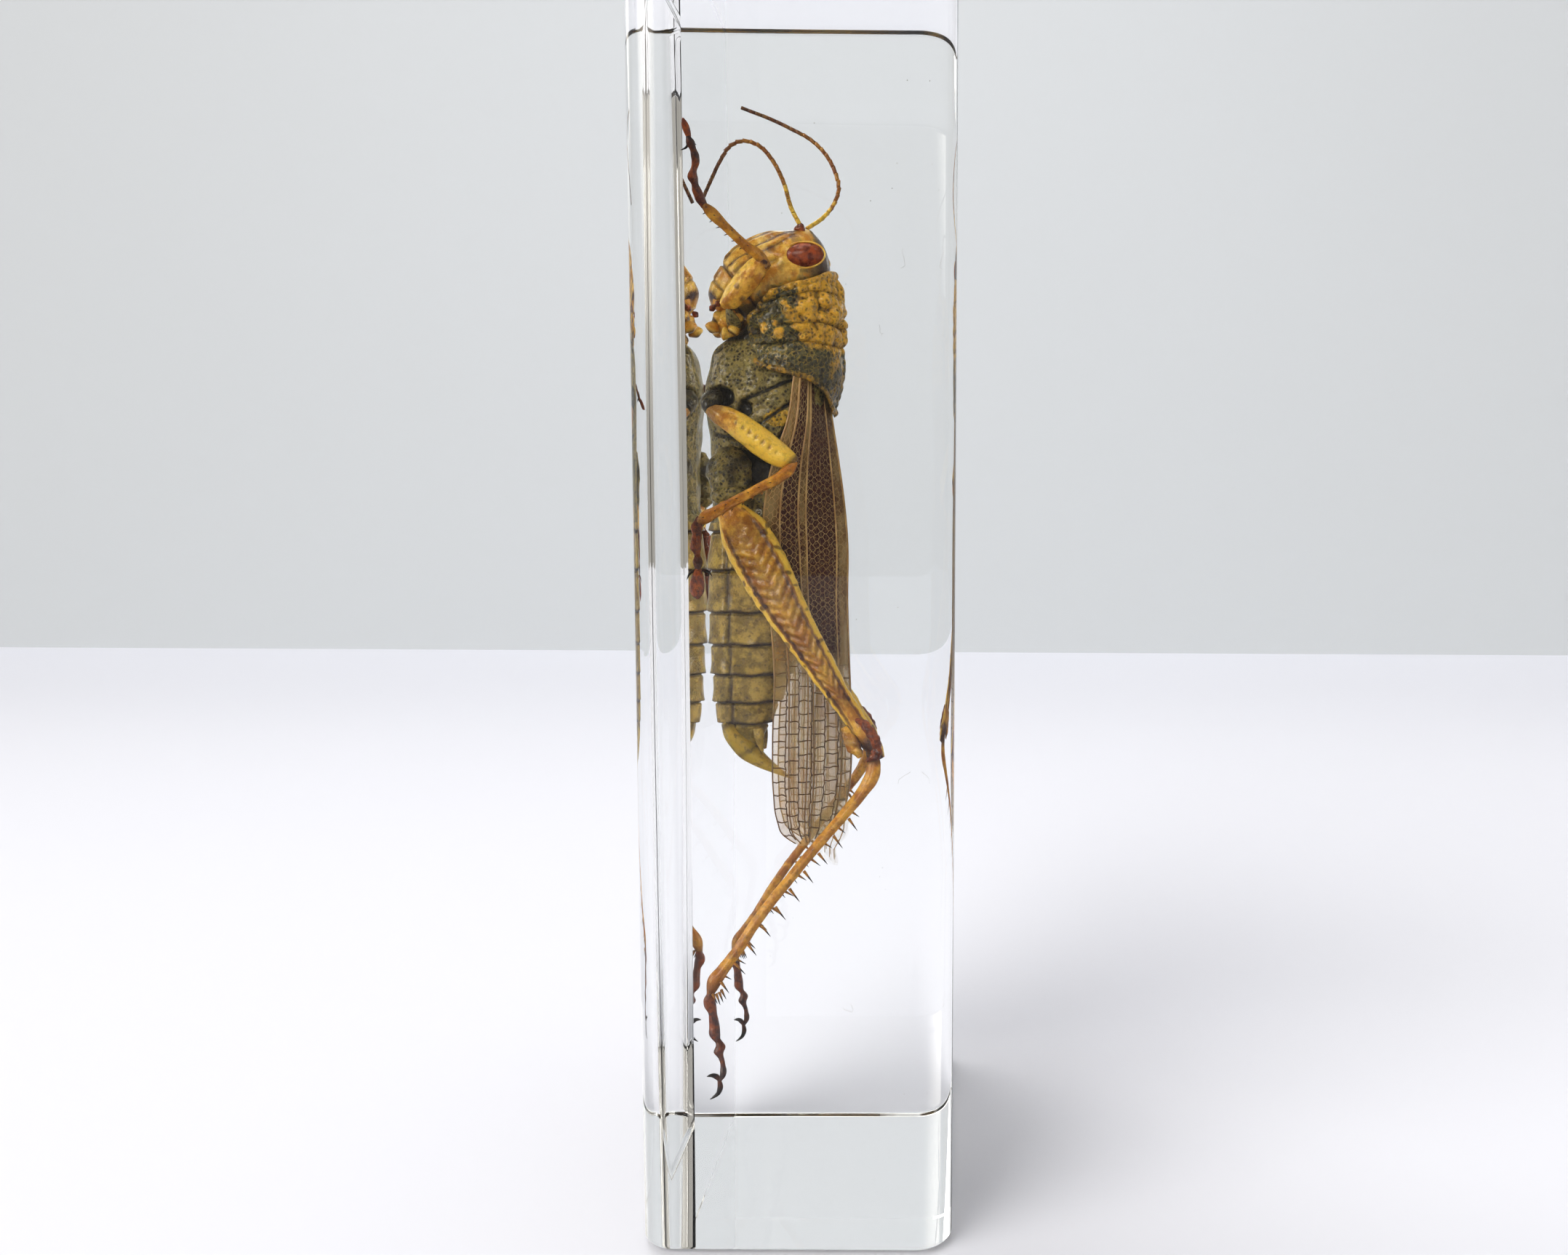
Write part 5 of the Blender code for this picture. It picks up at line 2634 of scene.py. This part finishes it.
@dataclass
class Studio:
    """A pale table and wall, soft light and the camera."""

    wall_y: float = 0.517
    half_width: float = 2.2
    front_y: float = -1.8
    wall_height: float = 0.43
    table_z: float = -0.0004
    lens: float = 26.0
    shift_x: float = -0.1076
    eye: Point3 = (0.0138, -0.116, 0.0633)
    pitch: float = -4.5
    roll: float = 0.3
    room: float = 0.36
    windows: tuple[tuple[Point3, float, float, float], ...] = (
        ((-0.58, -0.60, 0.55), 23.0, 8.0, 5.0),
        ((-0.50, 0.66, 0.56), 24.0, 8.0, 3.0),
    )
    table_watts: float = 0.8
    wall_watts: float = 0.5

    def build(self) -> None:
        """Set the stage, the lights and the camera."""
        self.sweep()
        self.lights()
        self.camera()
        view = bpy.context.scene.view_settings
        view.view_transform = "Standard"
        view.look = "Medium High Contrast"

    def sweep(self) -> None:
        """The table and the wall behind it."""
        w = self.half_width
        y, low, high = self.wall_y, self.table_z, self.wall_height
        table = [(-w, self.front_y, low), (w, self.front_y, low), (w, y, low), (-w, y, low)]
        wall = [(-w, y, low), (w, y, low), (w, y, high), (-w, y, high)]
        table_finish = StageFinish("white_table", (0.67, 0.695, 0.78)).material()
        wall_finish = StageFinish("grey_wall", (0.50, 0.53, 0.565)).material()
        for name, corners, finish in (("table", table, table_finish), ("wall", wall, wall_finish)):
            mesh = bpy.data.meshes.new(name)
            mesh.from_pydata(corners, [], [(0, 1, 2, 3)])
            mesh.materials.append(finish)
            thing = bpy.data.objects.new(name, mesh)
            bpy.context.scene.collection.objects.link(thing)

    def lights(self) -> None:
        """A dim room with two broad windows, and a soft lamp over the table and one on the wall."""
        world = bpy.data.worlds.new("soft_room")
        world.use_nodes = True
        tree = world.node_tree
        sky = tree.nodes["Background"]
        sky.inputs["Color"].default_value = (1.0, 0.95, 0.87, 1.0)
        where = tree.nodes.new("ShaderNodeTexCoord").outputs["Generated"]
        total = None
        for way, reach, blur, power in self.windows:
            dot = tree.nodes.new("ShaderNodeVectorMath")
            dot.operation = "DOT_PRODUCT"
            tree.links.new(where, dot.inputs[0])
            dot.inputs[1].default_value = Vector(way).normalized()
            pane = tree.nodes.new("ShaderNodeMapRange")
            pane.interpolation_type = "SMOOTHSTEP"
            pane.inputs["From Min"].default_value = math.cos(math.radians(reach + blur))
            pane.inputs["From Max"].default_value = math.cos(math.radians(reach - blur))
            pane.inputs["To Max"].default_value = power
            tree.links.new(dot.outputs["Value"], pane.inputs["Value"])
            added = tree.nodes.new("ShaderNodeMath")
            tree.links.new(pane.outputs[0], added.inputs[0])
            added.inputs[1].default_value = self.room
            if total is not None:
                tree.links.new(total, added.inputs[1])
            total = added.outputs[0]
        tree.links.new(total, sky.inputs["Strength"])
        bpy.context.scene.world = world
        self.lamp("overhead", (-0.05, 0.1, 0.85), (0, 0.1, 0.0), (0.8, 0.5), self.table_watts)
        self.lamp("wall_pool", (-0.05, 0.02, 0.50), (-0.02, 0.5, 0.20), (0.4, 0.15), self.wall_watts)

    def lamp(self, name: str, place: Point3, target: Point3, size: Point2, power: float) -> None:
        """Hang a soft rectangular lamp.

        Args:
            name: its name.
            place: where it hangs.
            target: what it points at.
            size: its width and height.
            power: its strength in watts.
        """
        light = bpy.data.lights.new(name, "AREA")
        light.shape = "RECTANGLE"
        light.size, light.size_y = size
        light.energy = power
        lamp = bpy.data.objects.new(name, light)
        way = np.array(target) - np.array(place)
        lamp.location = place
        lamp.rotation_euler = Vector(way).to_track_quat("-Z", "Y").to_euler()
        bpy.context.scene.collection.objects.link(lamp)

    def camera(self) -> None:
        """Stand the camera just in front of the block, right of its middle."""
        data = bpy.data.cameras.new("camera")
        data.lens = self.lens
        data.sensor_width = 36.0
        data.sensor_fit = "HORIZONTAL"
        data.shift_x = self.shift_x
        data.clip_start = 0.005
        data.clip_end = 20.0
        camera = bpy.data.objects.new("camera", data)
        tilt = Matrix.Rotation(math.radians(90 + self.pitch), 4, "X")
        camera.matrix_world = Matrix.Translation(self.eye) @ tilt @ Matrix.Rotation(
            math.radians(self.roll), 4, "Z"
        )
        bpy.context.scene.collection.objects.link(camera)
        bpy.context.scene.camera = camera


def main() -> None:
    """Build the insect, seal it in its block and set the studio."""
    logging.basicConfig(level=logging.INFO, format="%(name)s: %(message)s")
    Studio().build()
    shop = Workshop()
    Head(shop).build()
    Antennae(shop).build()
    Pronotum(shop).build()
    Thorax(shop).build()
    Abdomen(shop).build()
    ForeLeg(shop, Side.NEAR, lean=(0.105, -0.75, -0.15)).build()
    ForeLeg(shop, Side.FAR, Shift(0.6, -1.2, 4.0, (-7.0, 84.0)), fold=-112.0).build()
    MidLeg(shop, Side.NEAR, lean=(0.077, -0.55, 0.0)).build()
    MidLeg(shop, Side.FAR, Shift(1.6, -1.0, 3.0, (-8.5, 75.5))).build()
    HindLeg(shop, Side.NEAR, lean=(0.030, -0.22, 0.055)).build()
    HindLeg(shop, Side.FAR, Shift(-1.1, -0.1, 0.0, (-7.0, 67.0)), swing=-2.0, reach=0.9).build()
    Wings(shop).build()
    Block(shop).build()


if __name__ == "__main__":
    main()
